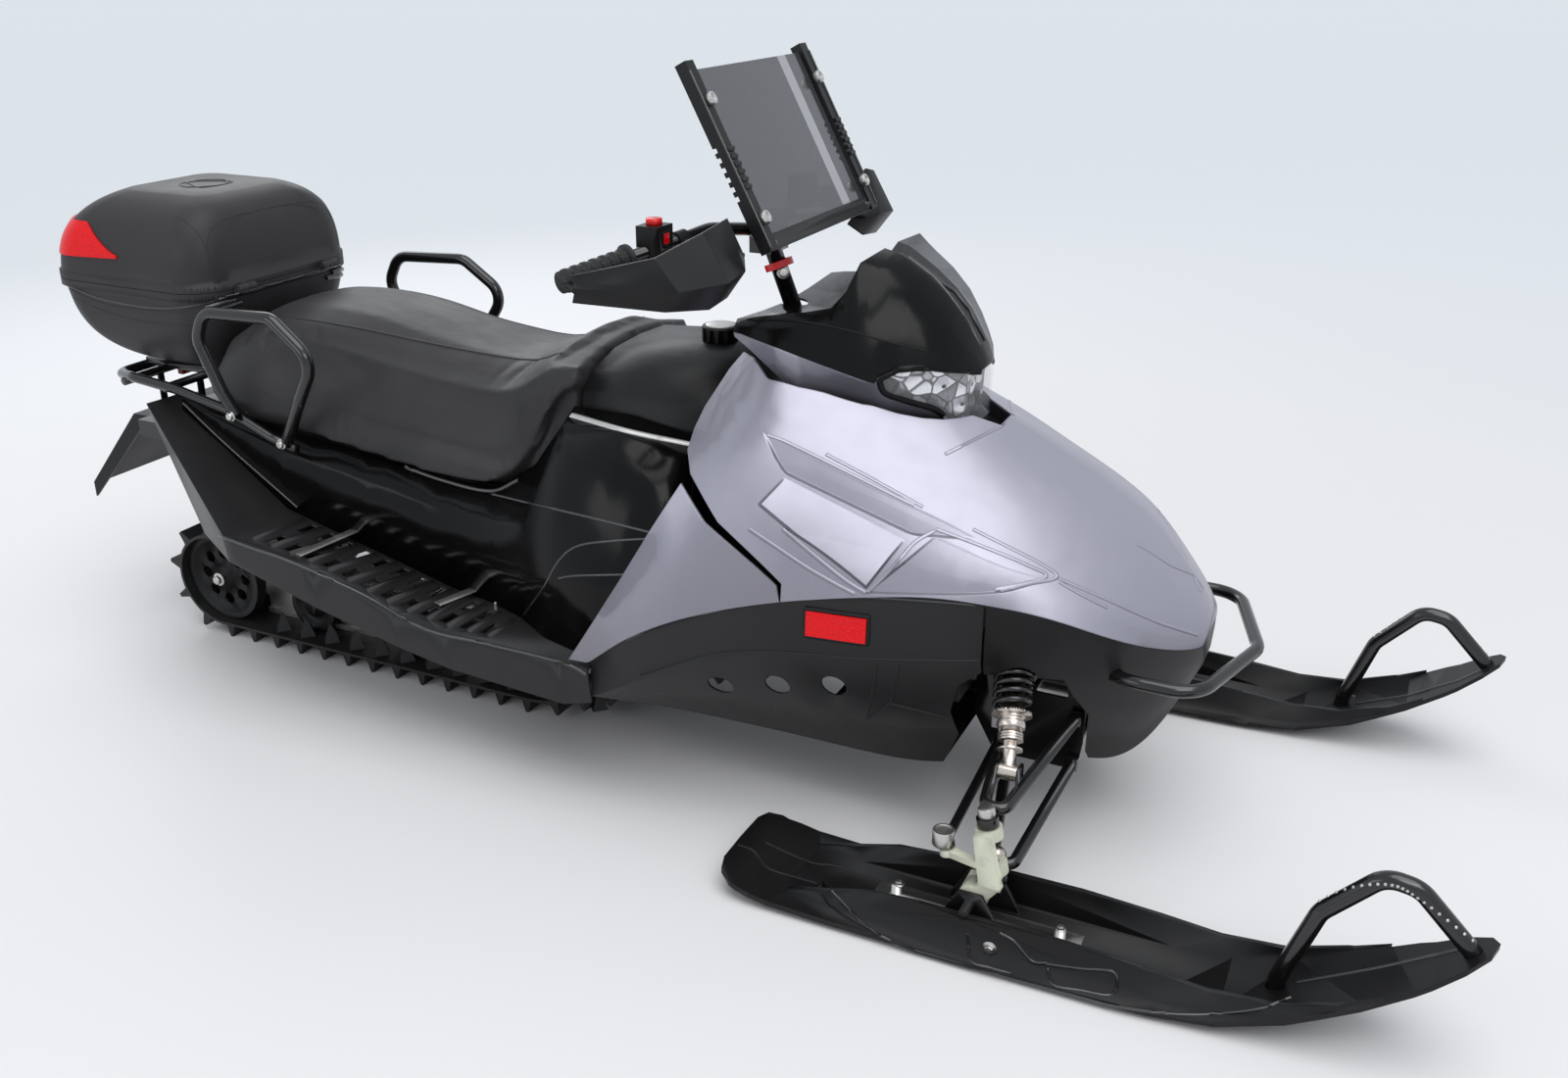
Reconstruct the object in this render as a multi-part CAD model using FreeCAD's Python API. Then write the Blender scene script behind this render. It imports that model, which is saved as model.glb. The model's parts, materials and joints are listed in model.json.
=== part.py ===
import FreeCAD, Part
import math
import os

# Snowmobile with a top case, in millimetres.
# +X is forward, +Y is the rider's left and +Z is up. The origin is on the ground below the middle
# of the whole machine. One rubber track drives at the rear, two steered skis carry the front.

# Common wall thicknesses, gaps and fits
PANEL_WALL = 4.0
PANEL_SEAM = 0.8
SEAT_FIT = 0.3
PIN_FIT = 0.4
PART_GAP = 6.0
OVERRUN = 30.0
WORLD = 2000.0

# Tunnel, the folded sheet channel over the track
TUNNEL_REAR_X = -1215.0
TUNNEL_LENGTH = 1545.0
TUNNEL_TOP_Z = 486.0
TUNNEL_OUTER_HALF = 216.0
TUNNEL_SHEET = 4.0

# Track: inner loop circles, belt and lugs
GROUND_CLEAR = 0.0
LUG_HEIGHT = 26.0
BELT_THICK = 6.0
LUG_PITCH = 64.0
TRACK_HALF = 190.0
TRACK_LANE_HALF = 66.0
IDLER_X = -1095.0
IDLER_RADIUS = 98.0
DRIVE_X = 150.0
DRIVE_Z = 295.0
DRIVE_RADIUS = 80.0
RAIL_NOSE_X = -300.0
RAIL_NOSE_RADIUS = 220.0
WHEEL_FIT = 0.5

# Wheels, axles and slide rails inside the track
AXLE_RADIUS = 10.0
IDLER_Y = 158.0
IDLER_WIDTH = 26.0
IDLER_RIM = 14.0
IDLER_WEB = 6.0
IDLER_HUB_RADIUS = 24.0
IDLER_HOLE_RADIUS = 13.0
IDLER_HOLE_RING = 54.0
BOGIE_RADIUS = 58.0
BOGIE_WIDTH = 22.0
BOGIE_Y = 126.0
BOGIE_REAR_X = -880.0
BOGIE_SPACING = 250.0
RAIL_Y = 92.0
RAIL_WIDTH = 16.0
RAIL_HEIGHT = 46.0
RAIL_REAR_X = -1040.0
RAIL_LENGTH = 948.0
RAIL_RISE = 98.0
SLIDER_HEIGHT = 12.0
SLIDER_HALF = 16.0
DRIVE_SHAFT_RADIUS = 17.0
SPROCKET_WIDTH = 30.0
SPROCKET_Y = 62.0
SPROCKET_TEETH = 9
SPROCKET_TOOTH = 12.0
SWING_TUBE_RADIUS = 11.0
SWING_FRONT_X = -60.0
SWING_FRONT_Z = 315.0
SWING_FRONT_FOOT_X = -330.0
SWING_REAR_X = -400.0
SWING_REAR_Z = 281.0
SWING_REAR_FOOT_X = -700.0
SWING_FOOT_RADIUS = 13.0
SWING_DAMPER_RADIUS = 17.0

# Running boards
BOARD_LENGTH = 1090.0
BOARD_REAR_X = -1090.0
BOARD_OUTER_Y = 420.0
BOARD_HEIGHT = 560.0
BOARD_WALL = 4.0
CLEAT_HEIGHT = 7.0
CLEAT_WIDTH = 9.0
CLEAT_PITCH = 44.0
CLEAT_COUNT = 13
CLEAT_FIRST_X = -745.0
CLEAT_FOOT_GAP = 12.0
CLEAT_OUTER_Y = 398.0
SLOT_WIDTH = 16.0
SLOT_LENGTH = 44.0
SLOT_OUTER_Y = 342.0

# Side covers between the seat, the tank and the boards
COVER_REAR_X = -1060.0
COVER_LENGTH = 1200.0
COVER_HALF_WIDTH = 400.0
COVER_HEIGHT = 660.0
COVER_WALL = 5.0

# Bodywork round the front: hood, side panels, belly pan and nose pan share one outer form
BODY_REAR_X = -50.0
BODY_LENGTH = 1000.0
BODY_HALF_WIDTH = 400.0
BODY_HEIGHT = 800.0
SIDE_SPLIT_X = 2.0
PAN_HOLE_RADIUS = 21.0
PAN_HOLE_FIRST_X = 214.0
PAN_HOLE_SPACING = 100.0
PAN_HOLE_FIRST_Z = 256.0
PAN_HOLE_RISE = 19.0
PAN_HOLE_Y = 250.0
REFLECTOR_X = 376.0
REFLECTOR_Z = 392.0
REFLECTOR_LENGTH = 98.0
REFLECTOR_HEIGHT = 42.0
REFLECTOR_THICK = 5.0

# Lamp pod: cowl wings, screen fairing, lamp housing and lens share one outer form
POD_REAR_X = 176.0
POD_LENGTH = 369.0
POD_HALF_WIDTH = 210.0
POD_HEIGHT = 950.0
POD_WALL = 4.0
POD_POCKET_GAP = 14.0
POD_POCKET_REACH = 40.0
LENS_WALL = 3.0
LENS_REAR_X = 404.0
LAMP_MOUNT = 36.0
REFLECTOR_BOWL_GAP = 16.0

# Seat, tank and cap
SEAT_REAR_X = -990.0
SEAT_LENGTH = 860.0
SEAT_HALF_WIDTH = 240.0
SEAT_HEIGHT = 760.0
TANK_REAR_X = -122.0
TANK_LENGTH = 252.0
TANK_HALF_WIDTH = 205.0
TANK_HEIGHT = 752.0
CAP_X = 44.0
CAP_RADIUS = 33.0
CAP_HEIGHT = 20.0
CAP_NECK_RADIUS = 27.0
CAP_NECK_HEIGHT = 14.0
CAP_GRIPS = 12
CAP_GRIP_RADIUS = 3.0

# Top case
CASE_FRONT_X = -968.0
CASE_LENGTH = 437.0
CASE_HALF_WIDTH = 226.0
CASE_CORNER = 80.0
CASE_RIM_Z = 770.0
CASE_TUB_HEIGHT = 168.0
CASE_LID_HEIGHT = 172.0
CASE_WALL = 4.0
CASE_RIM_WIDTH = 7.0
CASE_RIM_HEIGHT = 14.0
CASE_LID_GAP = 1.0
HINGE_TAB_Y = 120.0
HINGE_TAB_WIDTH = 46.0
HINGE_PIN_RADIUS = 4.0
HINGE_BARREL_RADIUS = 9.0
CASE_LAMP_THICK = 3.0

# Rack, grab handles, snow flap and tail lamp
RACK_TUBE_RADIUS = 10.0
RACK_CROSS_RADIUS = 8.5
RACK_POST_RADIUS = 7.0
RACK_BEND = 45.0
RACK_PLATE_HALF = 150.0
RACK_REAR_X = -1238.0
RACK_CROSS_REAR = 58.0
RACK_CROSS_FRONT = 168.0
RACK_POST_Y = 170.0
RACK_HALF_WIDTH = 262.0
RACK_SPAN = 490.0
RACK_HEIGHT = 600.0
HANDLE_TUBE_RADIUS = 12.0
HANDLE_BEND = 42.0
HANDLE_REAR_X = -940.0
HANDLE_SPAN = 310.0
HANDLE_HALF_WIDTH = 300.0
HANDLE_HEIGHT = 770.0
FLAP_LENGTH = 203.0
FLAP_DROP = 180.0
FLAP_HALF_WIDTH = 190.0
FLAP_WALL = 6.0
FLAP_RIM = 34.0
TAIL_LAMP_HALF = 70.0
TAIL_LAMP_HEIGHT = 32.0
TAIL_LAMP_THICK = 20.0

# Front frame, engine and bumper
ENGINE_REAR_X = 352.0
ENGINE_LENGTH = 232.0
ENGINE_HALF_WIDTH = 190.0
ENGINE_BOTTOM_Z = 236.0
CRADLE_HEIGHT = 20.0
CRADLE_WIDTH = 24.0
CRADLE_Y = 116.0
ENGINE_HEIGHT = 320.0
FRAME_REAR_X = 600.0
FRAME_LENGTH = 188.0
FRAME_HALF_WIDTH = 140.0
FRAME_PLATE = 6.0
FRAME_HEIGHT = 310.0
FRAME_BOTTOM_Z = 132.0
FRAME_TUBE_RADIUS = 12.0
BUMPER_TUBE_RADIUS = 11.0
BUMPER_BEND = 60.0
BUMPER_HALF_WIDTH = 205.0
BUMPER_REAR_X = 782.0
BUMPER_BEND_X = 968.0
BUMPER_TIP_X = 1030.0
BUMPER_Z = 348.0
BUMPER_REAR_Y = 128.0
BUMPER_SIDE_X = 862.0
BUMPER_DROP = 20.0

# Steering head, column and bar
COLUMN_X = 170.0
COLUMN_Z = 870.0
COLUMN_LEAN = 22.0
COLUMN_RADIUS = 15.0
COLUMN_DOWN = 300.0
COLUMN_UP = 78.0
BEARING_WALL = 9.0
BEARING_HEIGHT = 30.0
BEARING_DOWN = 250.0
BRACKET_TUBE_RADIUS = 11.0
BRACKET_RISE = 80.0
BRACKET_FOOT_Y = 62.0
POD_REST_X = 380.0
POD_REST_Z = 700.0
BAR_RADIUS = 11.0
BAR_BEND = 60.0
BAR_CLAMP_HALF = 34.0
BAR_CLAMP_RADIUS = 21.0
BAR_HALF_SPAN = 438.0
BAR_SWEEP = 130.0
BAR_RISE = 22.0
GRIP_RADIUS = 17.0
GRIP_LENGTH = 122.0
GRIP_RIBS = 7
GRIP_RIB_HEIGHT = 1.5
GRIP_RIB_WIDTH = 6.0
GRIP_FLANGE = 6.0

# Hand guards and controls
GUARD_REACH = 300.0
GUARD_HALF_SPAN = 460.0
GUARD_HEIGHT = 1040.0
GUARD_WALL = 4.0
GUARD_CLAMP_HALF = 10.0
LEVER_RADIUS = 5.0
LEVER_GAP = 52.0
SWITCH_LENGTH = 46.0
SWITCH_DEPTH = 40.0
SWITCH_HEIGHT = 58.0
BUTTON_RADIUS = 13.0
BUTTON_HEIGHT = 10.0

# Windshield
SCREEN_BOTTOM_X = 244.0
SCREEN_BOTTOM_Z = 965.0
SCREEN_LEAN = 28.0
SCREEN_HEIGHT = 300.0
SCREEN_HALF_WIDTH = 196.0
SCREEN_THICK = 3.0
SCREEN_RAIL_WIDTH = 26.0
SCREEN_RAIL_DEPTH = 20.0
SCREEN_GROOVE = 8.0
SCREEN_STAY_RADIUS = 6.0

# Skis, spindles and front suspension
SKI_Y = 450.0
SKI_REAR_X = 305.0
SKI_LENGTH = 1115.0
SKI_HALF_WIDTH = 106.0
SKI_TIP_Z = 205.0
SKI_FLOOR = 9.0
KEEL_HEIGHT = 9.0
KEEL_HALF = 13.0
SKI_WALL = 9.0
SKI_WALL_Y = 66.0
SKI_WALL_HEIGHT = 54.0
SKI_BOLT_X = 713.0
SKI_BOLT_Z = 74.0
SKI_BOLT_RADIUS = 8.0
SADDLE_GAP = 2.0
SADDLE_WALL = 7.0
SADDLE_HALF_LENGTH = 62.0
LOOP_TUBE_RADIUS = 13.0
LOOP_BEND = 42.0
LEAF_LENGTH = 330.0
LEAF_HALF_WIDTH = 20.0
LEAF_THICK = 6.0
LEAF_BOLT_RADIUS = 9.0
LEAF_BOLT_HEIGHT = 22.0
KING_X = 738.0
KING_Z = 112.0
KING_LEAN = 11.0
KING_PIN_RADIUS = 8.0
EYE_RADIUS = 17.0
EYE_HEIGHT = 14.0
HUB_GAP = 3.0
SPINDLE_HUB_RADIUS = 21.0
SPINDLE_HUB_HEIGHT = 18.0
SPINDLE_UPPER_W = 60.0
SPINDLE_WEB_GAP = 2.0
SPINDLE_WEB = 15.0
SPINDLE_FOOT_RADIUS = 23.0
SPINDLE_RIB = 5.0
STEER_ARM_LENGTH = 72.0
STEER_ARM_W = 24.0
STEER_ARM_THICK = 11.0
STEER_BALL_RADIUS = 13.0
TIE_LIFT = 4.0
TIE_ROD_RADIUS = 8.0
TIE_END_HEIGHT = 16.0
TIE_CENTRE_HALF = 70.0
TIE_CENTRE_Z = 200.0
TIE_GUIDE_HALF = 22.0
TIE_GUIDE_WALL = 8.0
ARM_TUBE_RADIUS = 10.0
ARM_BEND = 40.0
ARM_BARREL_RADIUS = 12.0
ARM_BARREL_LENGTH = 20.0
ARM_CENTRE_X = 722.0
ARM_SPREAD = 54.0
ARM_LOOP_Y = 418.0
ARM_LOOP_HALF = 16.0
UPPER_ARM_INNER_Z = 235.0
LOWER_ARM_INNER_Z = 150.0
SHOCK_LOW_Y = 350.0
SHOCK_TOP_X = 666.0
SHOCK_TOP_Y = 160.0
SHOCK_TOP_Z = 426.0
SHOCK_BODY_RADIUS = 19.0
SHOCK_ROD_RADIUS = 7.0
SHOCK_PIN_RADIUS = 6.0
SHOCK_PIN_HALF = 20.0
SHOCK_EAR = 5.0
SHOCK_LIFT = 16.0
SHOCK_NECK_SHARE = 0.22
SPRING_LOW_SHARE = 0.34
SPRING_MIDDLE_SHARE = 0.6
SPRING_TOP_SHARE = 0.88
SHOCK_EYE_RADIUS = 13.0
SHOCK_CUP_RADIUS = 32.0
SHOCK_CUP_HEIGHT = 6.0
SPRING_RADIUS = 26.0
SPRING_WIRE_RADIUS = 4.5
SPRING_TURNS = 8
SPRING_WIRE_SIDES = 8
SPRING_END_FIT = 0.4

# Half outlines of the bodywork, rear to front: x, then (y, z) from the top centre round to the
# bottom centre, as shares of the body length, half width and height.
BODY_SECTION_SHARES = [
    (-0.06, ((0, 1.0275), (0.375, 1.02), (0.75, 0.8775), (0.9625, 0.6), (1.05, 0.2812), (1.04, 0.2762),
        (1.0325, 0.2125), (0.7125, 0.1688), (0, 0.1688))),
    (0.02, ((0, 1.025), (0.3875, 1.0175), (0.7525, 0.875), (0.97, 0.6125), (1.05, 0.33),
        (1.0375, 0.325), (1.03, 0.2562), (0.7125, 0.175), (0, 0.175))),
    (0.11, ((0, 1.0188), (0.4125, 1.01), (0.755, 0.8688), (0.98, 0.6312), (1.03, 0.4188),
        (1.0175, 0.4138), (1.02, 0.3125), (0.7, 0.185), (0, 0.185))),
    (0.23, ((0, 1.01), (0.45, 0.9975), (0.755, 0.86), (0.9625, 0.7), (0.99, 0.5), (0.9775, 0.495),
        (0.9775, 0.39), (0.6875, 0.1875), (0, 0.1875))),
    (0.39, ((0, 0.9875), (0.425, 0.9313), (0.72, 0.8063), (0.8625, 0.7), (0.9, 0.5575),
        (0.8875, 0.5525), (0.9, 0.4375), (0.675, 0.1875), (0, 0.1875))),
    (0.53, ((0, 0.9187), (0.3575, 0.865), (0.665, 0.75), (0.7875, 0.675), (0.8475, 0.5913),
        (0.835, 0.5863), (0.85, 0.455), (0.67, 0.1875), (0, 0.1875))),
    (0.625, ((0, 0.86), (0.325, 0.82), (0.63, 0.7063), (0.7575, 0.6475), (0.795, 0.6025),
        (0.7825, 0.5975), (0.785, 0.4625), (0.625, 0.19), (0, 0.19))),
    (0.71, ((0, 0.81), (0.2825, 0.775), (0.595, 0.675), (0.7, 0.6312), (0.74, 0.595), (0.7275, 0.59),
        (0.72, 0.46), (0.475, 0.1875), (0, 0.1875))),
    (0.795, ((0, 0.7538), (0.25, 0.7262), (0.5325, 0.625), (0.6, 0.595), (0.635, 0.565), (0.6225, 0.56),
        (0.61, 0.45), (0.3375, 0.185), (0, 0.185))),
    (0.877, ((0, 0.6887), (0.2175, 0.6637), (0.44, 0.5687), (0.4825, 0.5475), (0.51, 0.5188),
        (0.4975, 0.5138), (0.49, 0.44), (0.275, 0.185), (0, 0.185))),
    (0.94, ((0, 0.6088), (0.18, 0.585), (0.31, 0.5225), (0.34, 0.5025), (0.36, 0.48), (0.35, 0.475),
        (0.34, 0.4313), (0.21, 0.25), (0, 0.25))),
    (0.982, ((0, 0.54), (0.14, 0.525), (0.21, 0.495), (0.23, 0.48), (0.245, 0.4625), (0.235, 0.4575),
        (0.225, 0.4225), (0.14, 0.35), (0, 0.35))),
    (1, ((0, 0.4975), (0.095, 0.49), (0.14, 0.48), (0.15, 0.47), (0.16, 0.4575), (0.15, 0.4525),
        (0.145, 0.43), (0.085, 0.3975), (0, 0.3975))),
]

# Rear edge of the hood from the bottom up, (x, z) shares of the body length and height
HOOD_REAR_SHARES = [
    (0.384, 0.5925), (0.215, 0.785), (0.2, 0.825), (0.206, 0.9), (0.222, 0.9625),
    (0.266, 1.0625),
]

# Side panel behind the hood: rear corner on the board, top corner and the slot's corner
SIDE_PANEL_SHARES = [
    (0.012, 0.355), (0.052, 0.3575), (0.052, 0.1875), (0.45, 0.1875), (0.376, 0.5875),
    (0.202, 0.765), (0.157, 0.655), (0.112, 0.56),
]

# Belly pan, (x, z): the outline below the seam
BELLY_SHARES = [
    (0.052, 0.75), (0.052, 0.1625), (0.623, 0.1625), (0.656, 0.265), (0.646, 0.3275),
    (0.662, 0.4025), (0.698, 0.44), (0.698, 0.75),
]

# Nose pan, (x, z): the outline below the seam
NOSE_SHARES = [
    (0.702, 0.75), (0.702, 0.4375), (0.815, 0.42), (0.826, 0.375), (0.848, 0.3162),
    (0.84, 0.2025), (0.85, 0.15), (1.03, 0.15), (1.03, 0.75),
]

# Half outlines of the lamp pod, rear to front: x, then (y, z) from the top centre to the bottom
# centre, as shares of the pod length, half width and height.
POD_SECTION_SHARES = [
    (0, ((0, 0.88), (0.4286, 0.8842), (0.9143, 0.8926), (0.9619, 0.8821), (0.981, 0.8726),
        (0.9667, 0.8642), (0, 0.8316))),
    (0.0759, ((0, 0.8779), (0.4286, 0.8853), (0.9048, 0.8979), (0.9571, 0.8832), (0.9714, 0.8653),
        (0.9524, 0.8421), (0, 0.8126))),
    (0.1843, ((0, 0.8758), (0.419, 0.8863), (0.8714, 0.9032), (0.9333, 0.8821), (0.9571, 0.8547),
        (0.919, 0.8053), (0, 0.7916))),
    (0.3035, ((0, 0.8758), (0.4, 0.8916), (0.8143, 0.9116), (0.8857, 0.8874), (0.9143, 0.8389),
        (0.8333, 0.7579), (0, 0.7432))),
    (0.4119, ((0, 0.8779), (0.3714, 0.8989), (0.7667, 0.9211), (0.819, 0.8905), (0.8571, 0.8232),
        (0.7286, 0.7284), (0, 0.7179))),
    (0.4661, ((0, 0.92), (0.1619, 0.9305), (0.7143, 0.9474), (0.7952, 0.8863), (0.8286, 0.8158),
        (0.7048, 0.7221), (0, 0.7116))),
    (0.5149, ((0, 0.9895), (0.1429, 1), (0.6429, 0.9958), (0.7667, 0.8821), (0.8, 0.8084),
        (0.681, 0.7179), (0, 0.7053))),
    (0.5691, ((0, 0.9874), (0.1429, 0.9947), (0.6048, 0.9811), (0.7286, 0.8768), (0.7667, 0.8011),
        (0.6476, 0.7126), (0, 0.7011))),
    (0.6125, ((0, 0.9779), (0.1381, 0.9853), (0.581, 0.9695), (0.6952, 0.8726), (0.7238, 0.7968),
        (0.6095, 0.7042), (0, 0.6958))),
    (0.7127, ((0, 0.9537), (0.1333, 0.96), (0.5238, 0.9453), (0.619, 0.8653), (0.7, 0.8242),
        (0.5429, 0.6905), (0, 0.6884))),
    (0.8103, ((0, 0.9242), (0.1286, 0.9295), (0.4524, 0.9137), (0.5429, 0.8579), (0.5905, 0.8274),
        (0.4619, 0.6832), (0, 0.6821))),
    (0.8862, ((0, 0.8916), (0.119, 0.8968), (0.381, 0.8779), (0.4524, 0.8463), (0.4857, 0.82),
        (0.3524, 0.6821), (0, 0.6811))),
    (0.9404, ((0, 0.8589), (0.1095, 0.8632), (0.2952, 0.8505), (0.3333, 0.8326), (0.3429, 0.8116),
        (0.2476, 0.6842), (0, 0.6821))),
    (0.9783, ((0, 0.8347), (0.0952, 0.8389), (0.2095, 0.8316), (0.219, 0.8189), (0.2095, 0.8032),
        (0.1524, 0.6937), (0, 0.6895))),
    (1, ((0, 0.8158), (0.0762, 0.82), (0.1286, 0.8116), (0.1333, 0.8032), (0.1286, 0.7895),
        (0.081, 0.7179), (0, 0.7137))),
]

# Seam between the screen fairing and what lies below it, rear to front, (x, z) shares of the pod
FAIRING_SEAM_SHARES = [
    (-0.1518, 0.8758), (0.0298, 0.8705), (0.1897, 0.8537), (0.3279, 0.8358), (0.5827, 0.8),
    (0.6125, 0.7968), (0.6287, 0.8095), (0.6965, 0.8253), (0.7859, 0.8295), (0.9458, 0.8116),
    (1.1491, 0.7916),
]

# Lower edge of the lens, rear to front, (x, z) shares of the pod
LENS_LOW_SHARES = [
    (0.6233, 0.8021), (0.6396, 0.7779), (0.7263, 0.7642), (0.8618, 0.74), (0.9106, 0.7116),
    (0.9702, 0.7116), (1.1491, 0.7368),
]

# Seat, rear to front: x, then (y, z) from the top centre to the bottom centre
SEAT_SECTION_SHARES = [
    (0, ((0, 0.8789), (0.375, 0.8737), (0.7, 0.8421), (0.9167, 0.7974), (0.9583, 0.7711),
        (0.8583, 0.7658))),
    (0.0698, ((0, 0.95), (0.375, 0.9447), (0.775, 0.9079), (0.9417, 0.8026), (0.9917, 0.7263),
        (0.8583, 0.7211))),
    (0.1977, ((0, 0.9737), (0.375, 0.9684), (0.7917, 0.9263), (0.95, 0.8026), (1, 0.7105),
        (0.8583, 0.7053))),
    (0.3721, ((0, 0.9697), (0.375, 0.9632), (0.7917, 0.9132), (0.95, 0.7895), (1, 0.6921),
        (0.8583, 0.6868))),
    (0.5407, ((0, 0.9368), (0.375, 0.9289), (0.7917, 0.8842), (0.95, 0.7632), (1, 0.6684),
        (0.8583, 0.6632))),
    (0.6802, ((0, 0.9171), (0.375, 0.9105), (0.7917, 0.8684), (0.95, 0.75), (1, 0.6526), (0.8583, 0.6474))),
    (0.8023, ((0, 0.9184), (0.375, 0.9132), (0.8, 0.8711), (0.95, 0.7566), (0.9958, 0.6658),
        (0.8583, 0.6605))),
    (0.8814, ((0, 0.9566), (0.375, 0.9513), (0.8167, 0.9145), (0.9417, 0.8132), (0.9833, 0.7368),
        (0.8583, 0.7316))),
    (0.9581, ((0, 0.9947), (0.375, 0.9882), (0.825, 0.9579), (0.9083, 0.9211), (0.95, 0.8868),
        (0.8583, 0.8842))),
    (1, ((0, 0.9974), (0.375, 0.9895), (0.8167, 0.9632), (0.8667, 0.9421), (0.8917, 0.9237),
        (0.85, 0.9211))),
]

# Tank, rear to front: x, then (y, z) from the top centre to the bottom centre
TANK_SECTION_SHARES = [
    (0, ((0, 0.9894), (0.439, 0.984), (0.8195, 0.9548), (0.9756, 0.9122), (0.9951, 0.8856),
        (0.9561, 0.8484))),
    (0.4841, ((0, 1), (0.439, 0.9947), (0.8293, 0.9628), (0.9854, 0.9149), (1, 0.8777), (0.9561, 0.8378))),
    (0.8016, ((0, 0.9973), (0.439, 0.992), (0.8098, 0.9574), (0.9659, 0.9069), (0.9902, 0.8644),
        (0.9463, 0.8245))),
    (1, ((0, 0.9867), (0.4146, 0.9814), (0.7317, 0.9468), (0.8976, 0.8936), (0.9268, 0.8577),
        (0.8878, 0.8178))),
]

# Side cover, rear to front: x, then (y, z) of the outer face from the top edge down to the board
COVER_SECTION_SHARES = [
    (0.0083, ((0.57, 0.8606), (0.6, 0.8515), (0.605, 0.8364), (0.6075, 0.8164))),
    (0.0875, ((0.58, 0.8197), (0.605, 0.803), (0.61, 0.7652), (0.6125, 0.7255))),
    (0.2167, ((0.58, 0.8), (0.6125, 0.7424), (0.62, 0.6515), (0.62, 0.5594))),
    (0.3917, ((0.58, 0.7697), (0.62, 0.697), (0.63, 0.5909), (0.625, 0.4855))),
    (0.5417, ((0.58, 0.7364), (0.63, 0.6591), (0.645, 0.5303), (0.63, 0.4212))),
    (0.6333, ((0.575, 0.7455), (0.655, 0.6515), (0.69, 0.5303), (0.68, 0.417))),
    (0.7042, ((0.57, 0.8273), (0.68, 0.6818), (0.75, 0.5303), (0.755, 0.4188))),
    (0.7733, ((0.535, 1.0061), (0.635, 0.9758), (0.825, 0.5758), (0.88, 0.4206))),
    (0.8667, ((0.535, 1.0061), (0.645, 0.9788), (0.875, 0.6061), (0.965, 0.4209))),
    (0.9917, ((0.53, 0.9697), (0.645, 0.9424), (0.825, 0.6364), (0.93, 0.4545))),
]

# Running board, rear to front: x, then (y, z) inner edge, foot line, outer edge, skirt bottom
BOARD_SECTION_SHARES = [
    (0.0046, ((0.515, 1), (0.5714, 1), (0.7095, 1.0036), (0.7, 0.975))),
    (0.1239, ((0.515, 0.8536), (0.5714, 0.8536), (0.8381, 0.8464), (0.7667, 0.5607))),
    (0.2661, ((0.515, 0.6571), (0.5714, 0.6571), (1, 0.6732), (0.981, 0.5679))),
    (0.4587, ((0.515, 0.5679), (0.5714, 0.5679), (1, 0.6196), (0.981, 0.4679))),
    (0.6239, ((0.515, 0.4929), (0.5714, 0.4929), (1, 0.525), (0.981, 0.3964))),
    (0.7248, ((0.515, 0.4857), (0.5714, 0.4857), (1, 0.4982), (0.981, 0.3643))),
    (0.945, ((0.515, 0.4857), (0.5714, 0.4857), (1, 0.4946), (0.981, 0.3393))),
    (1, ((0.515, 0.4857), (0.5714, 0.4857), (1, 0.4929), (0.981, 0.3679))),
]

# Tunnel side, (x, z) clockwise from the rear top
TUNNEL_SIDE_SHARES = [
    (0, 1), (1, 1), (1, 0.4691), (0.7994, 0.4691), (0.7799, 0.5144),
    (0.5922, 0.5267), (0.5146, 0.5391), (0.3981, 0.6255), (0.2686, 0.7243), (0.165, 0.9053),
    (0, 0.93),
]

# Top case outlines, (height share, length share, width share, forward shift share)
TUB_LEVEL_SHARES = [
    (0.0, 0.46, 0.66, 0.17),
    (0.10, 0.60, 0.78, 0.09),
    (0.35, 0.80, 0.90, 0.02),
    (0.70, 0.93, 0.965, 0.008),
    (1.0, 0.975, 0.98, 0.0),
]
LID_LEVEL_SHARES = [
    (0.0, 0.985, 0.99, 0.0),
    (0.35, 0.955, 0.97, 0.008),
    (0.66, 0.865, 0.885, 0.03),
    (0.86, 0.725, 0.74, 0.055),
    (1.0, 0.50, 0.52, 0.07),
]

# Slide rail outline from the rear top forward, (x, z) shares of the rail's span and height
RAIL_SHARES = [
    (0, 0.4286), (0, 0), (0.7911, 0), (0.8439, 0.0816), (0.9072, 0.3061),
    (0.962, 0.5714), (1, 0.8571), (0.9831, 1), (0.9283, 0.7143), (0.8544, 0.5102),
    (0.7806, 0.4286),
]

# Rack side tube and grab handle routes, (x, y, z) shares
RACK_ROUTE_SHARES = [
    (0, 0, 0.9757), (0, 0.8473, 0.9757), (0.1796, 1, 0.9967), (0.4041, 1, 0.98),
    (0.6796, 1, 0.9367), (0.8939, 1, 0.8667), (1.0122, 1, 0.8433),
]
HANDLE_ROUTE_SHARES = [
    (0.2065, 0.9067, 0.7273), (0.1419, 0.93, 0.787), (0.0129, 0.94, 0.9169), (0.1032, 0.9467, 0.9896),
    (0.6581, 0.9667, 1), (0.9677, 0.99, 0.9091), (0.8065, 0.9667, 0.8052), (0.5871, 0.9, 0.6727),
]

# Ski side line of the floor's lower face, rear to tip, (x, z) shares of length and tip height
SKI_LINE_SHARES = [
    (0, 0.1951), (0.0359, 0.1073), (0.0852, 0.0585), (0.1749, 0.0439), (0.6233, 0.0439),
    (0.704, 0.0878), (0.7848, 0.2244), (0.8655, 0.4488), (0.9372, 0.7024), (1, 0.9756),
]
# Ski outline from above, rear centre to tip centre, (x, y) shares of length and half width
SKI_PLAN_SHARES = [
    (0, 0), (0.0009, 0.5849), (0.0081, 0.8302), (0.026, 0.9623), (0.0583, 1),
    (0.4439, 0.9811), (0.5874, 0.9434), (0.704, 0.8491), (0.8206, 0.6981), (0.9193, 0.5283),
    (0.9695, 0.3585), (0.9928, 0.1887), (1, 0),
]
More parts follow.
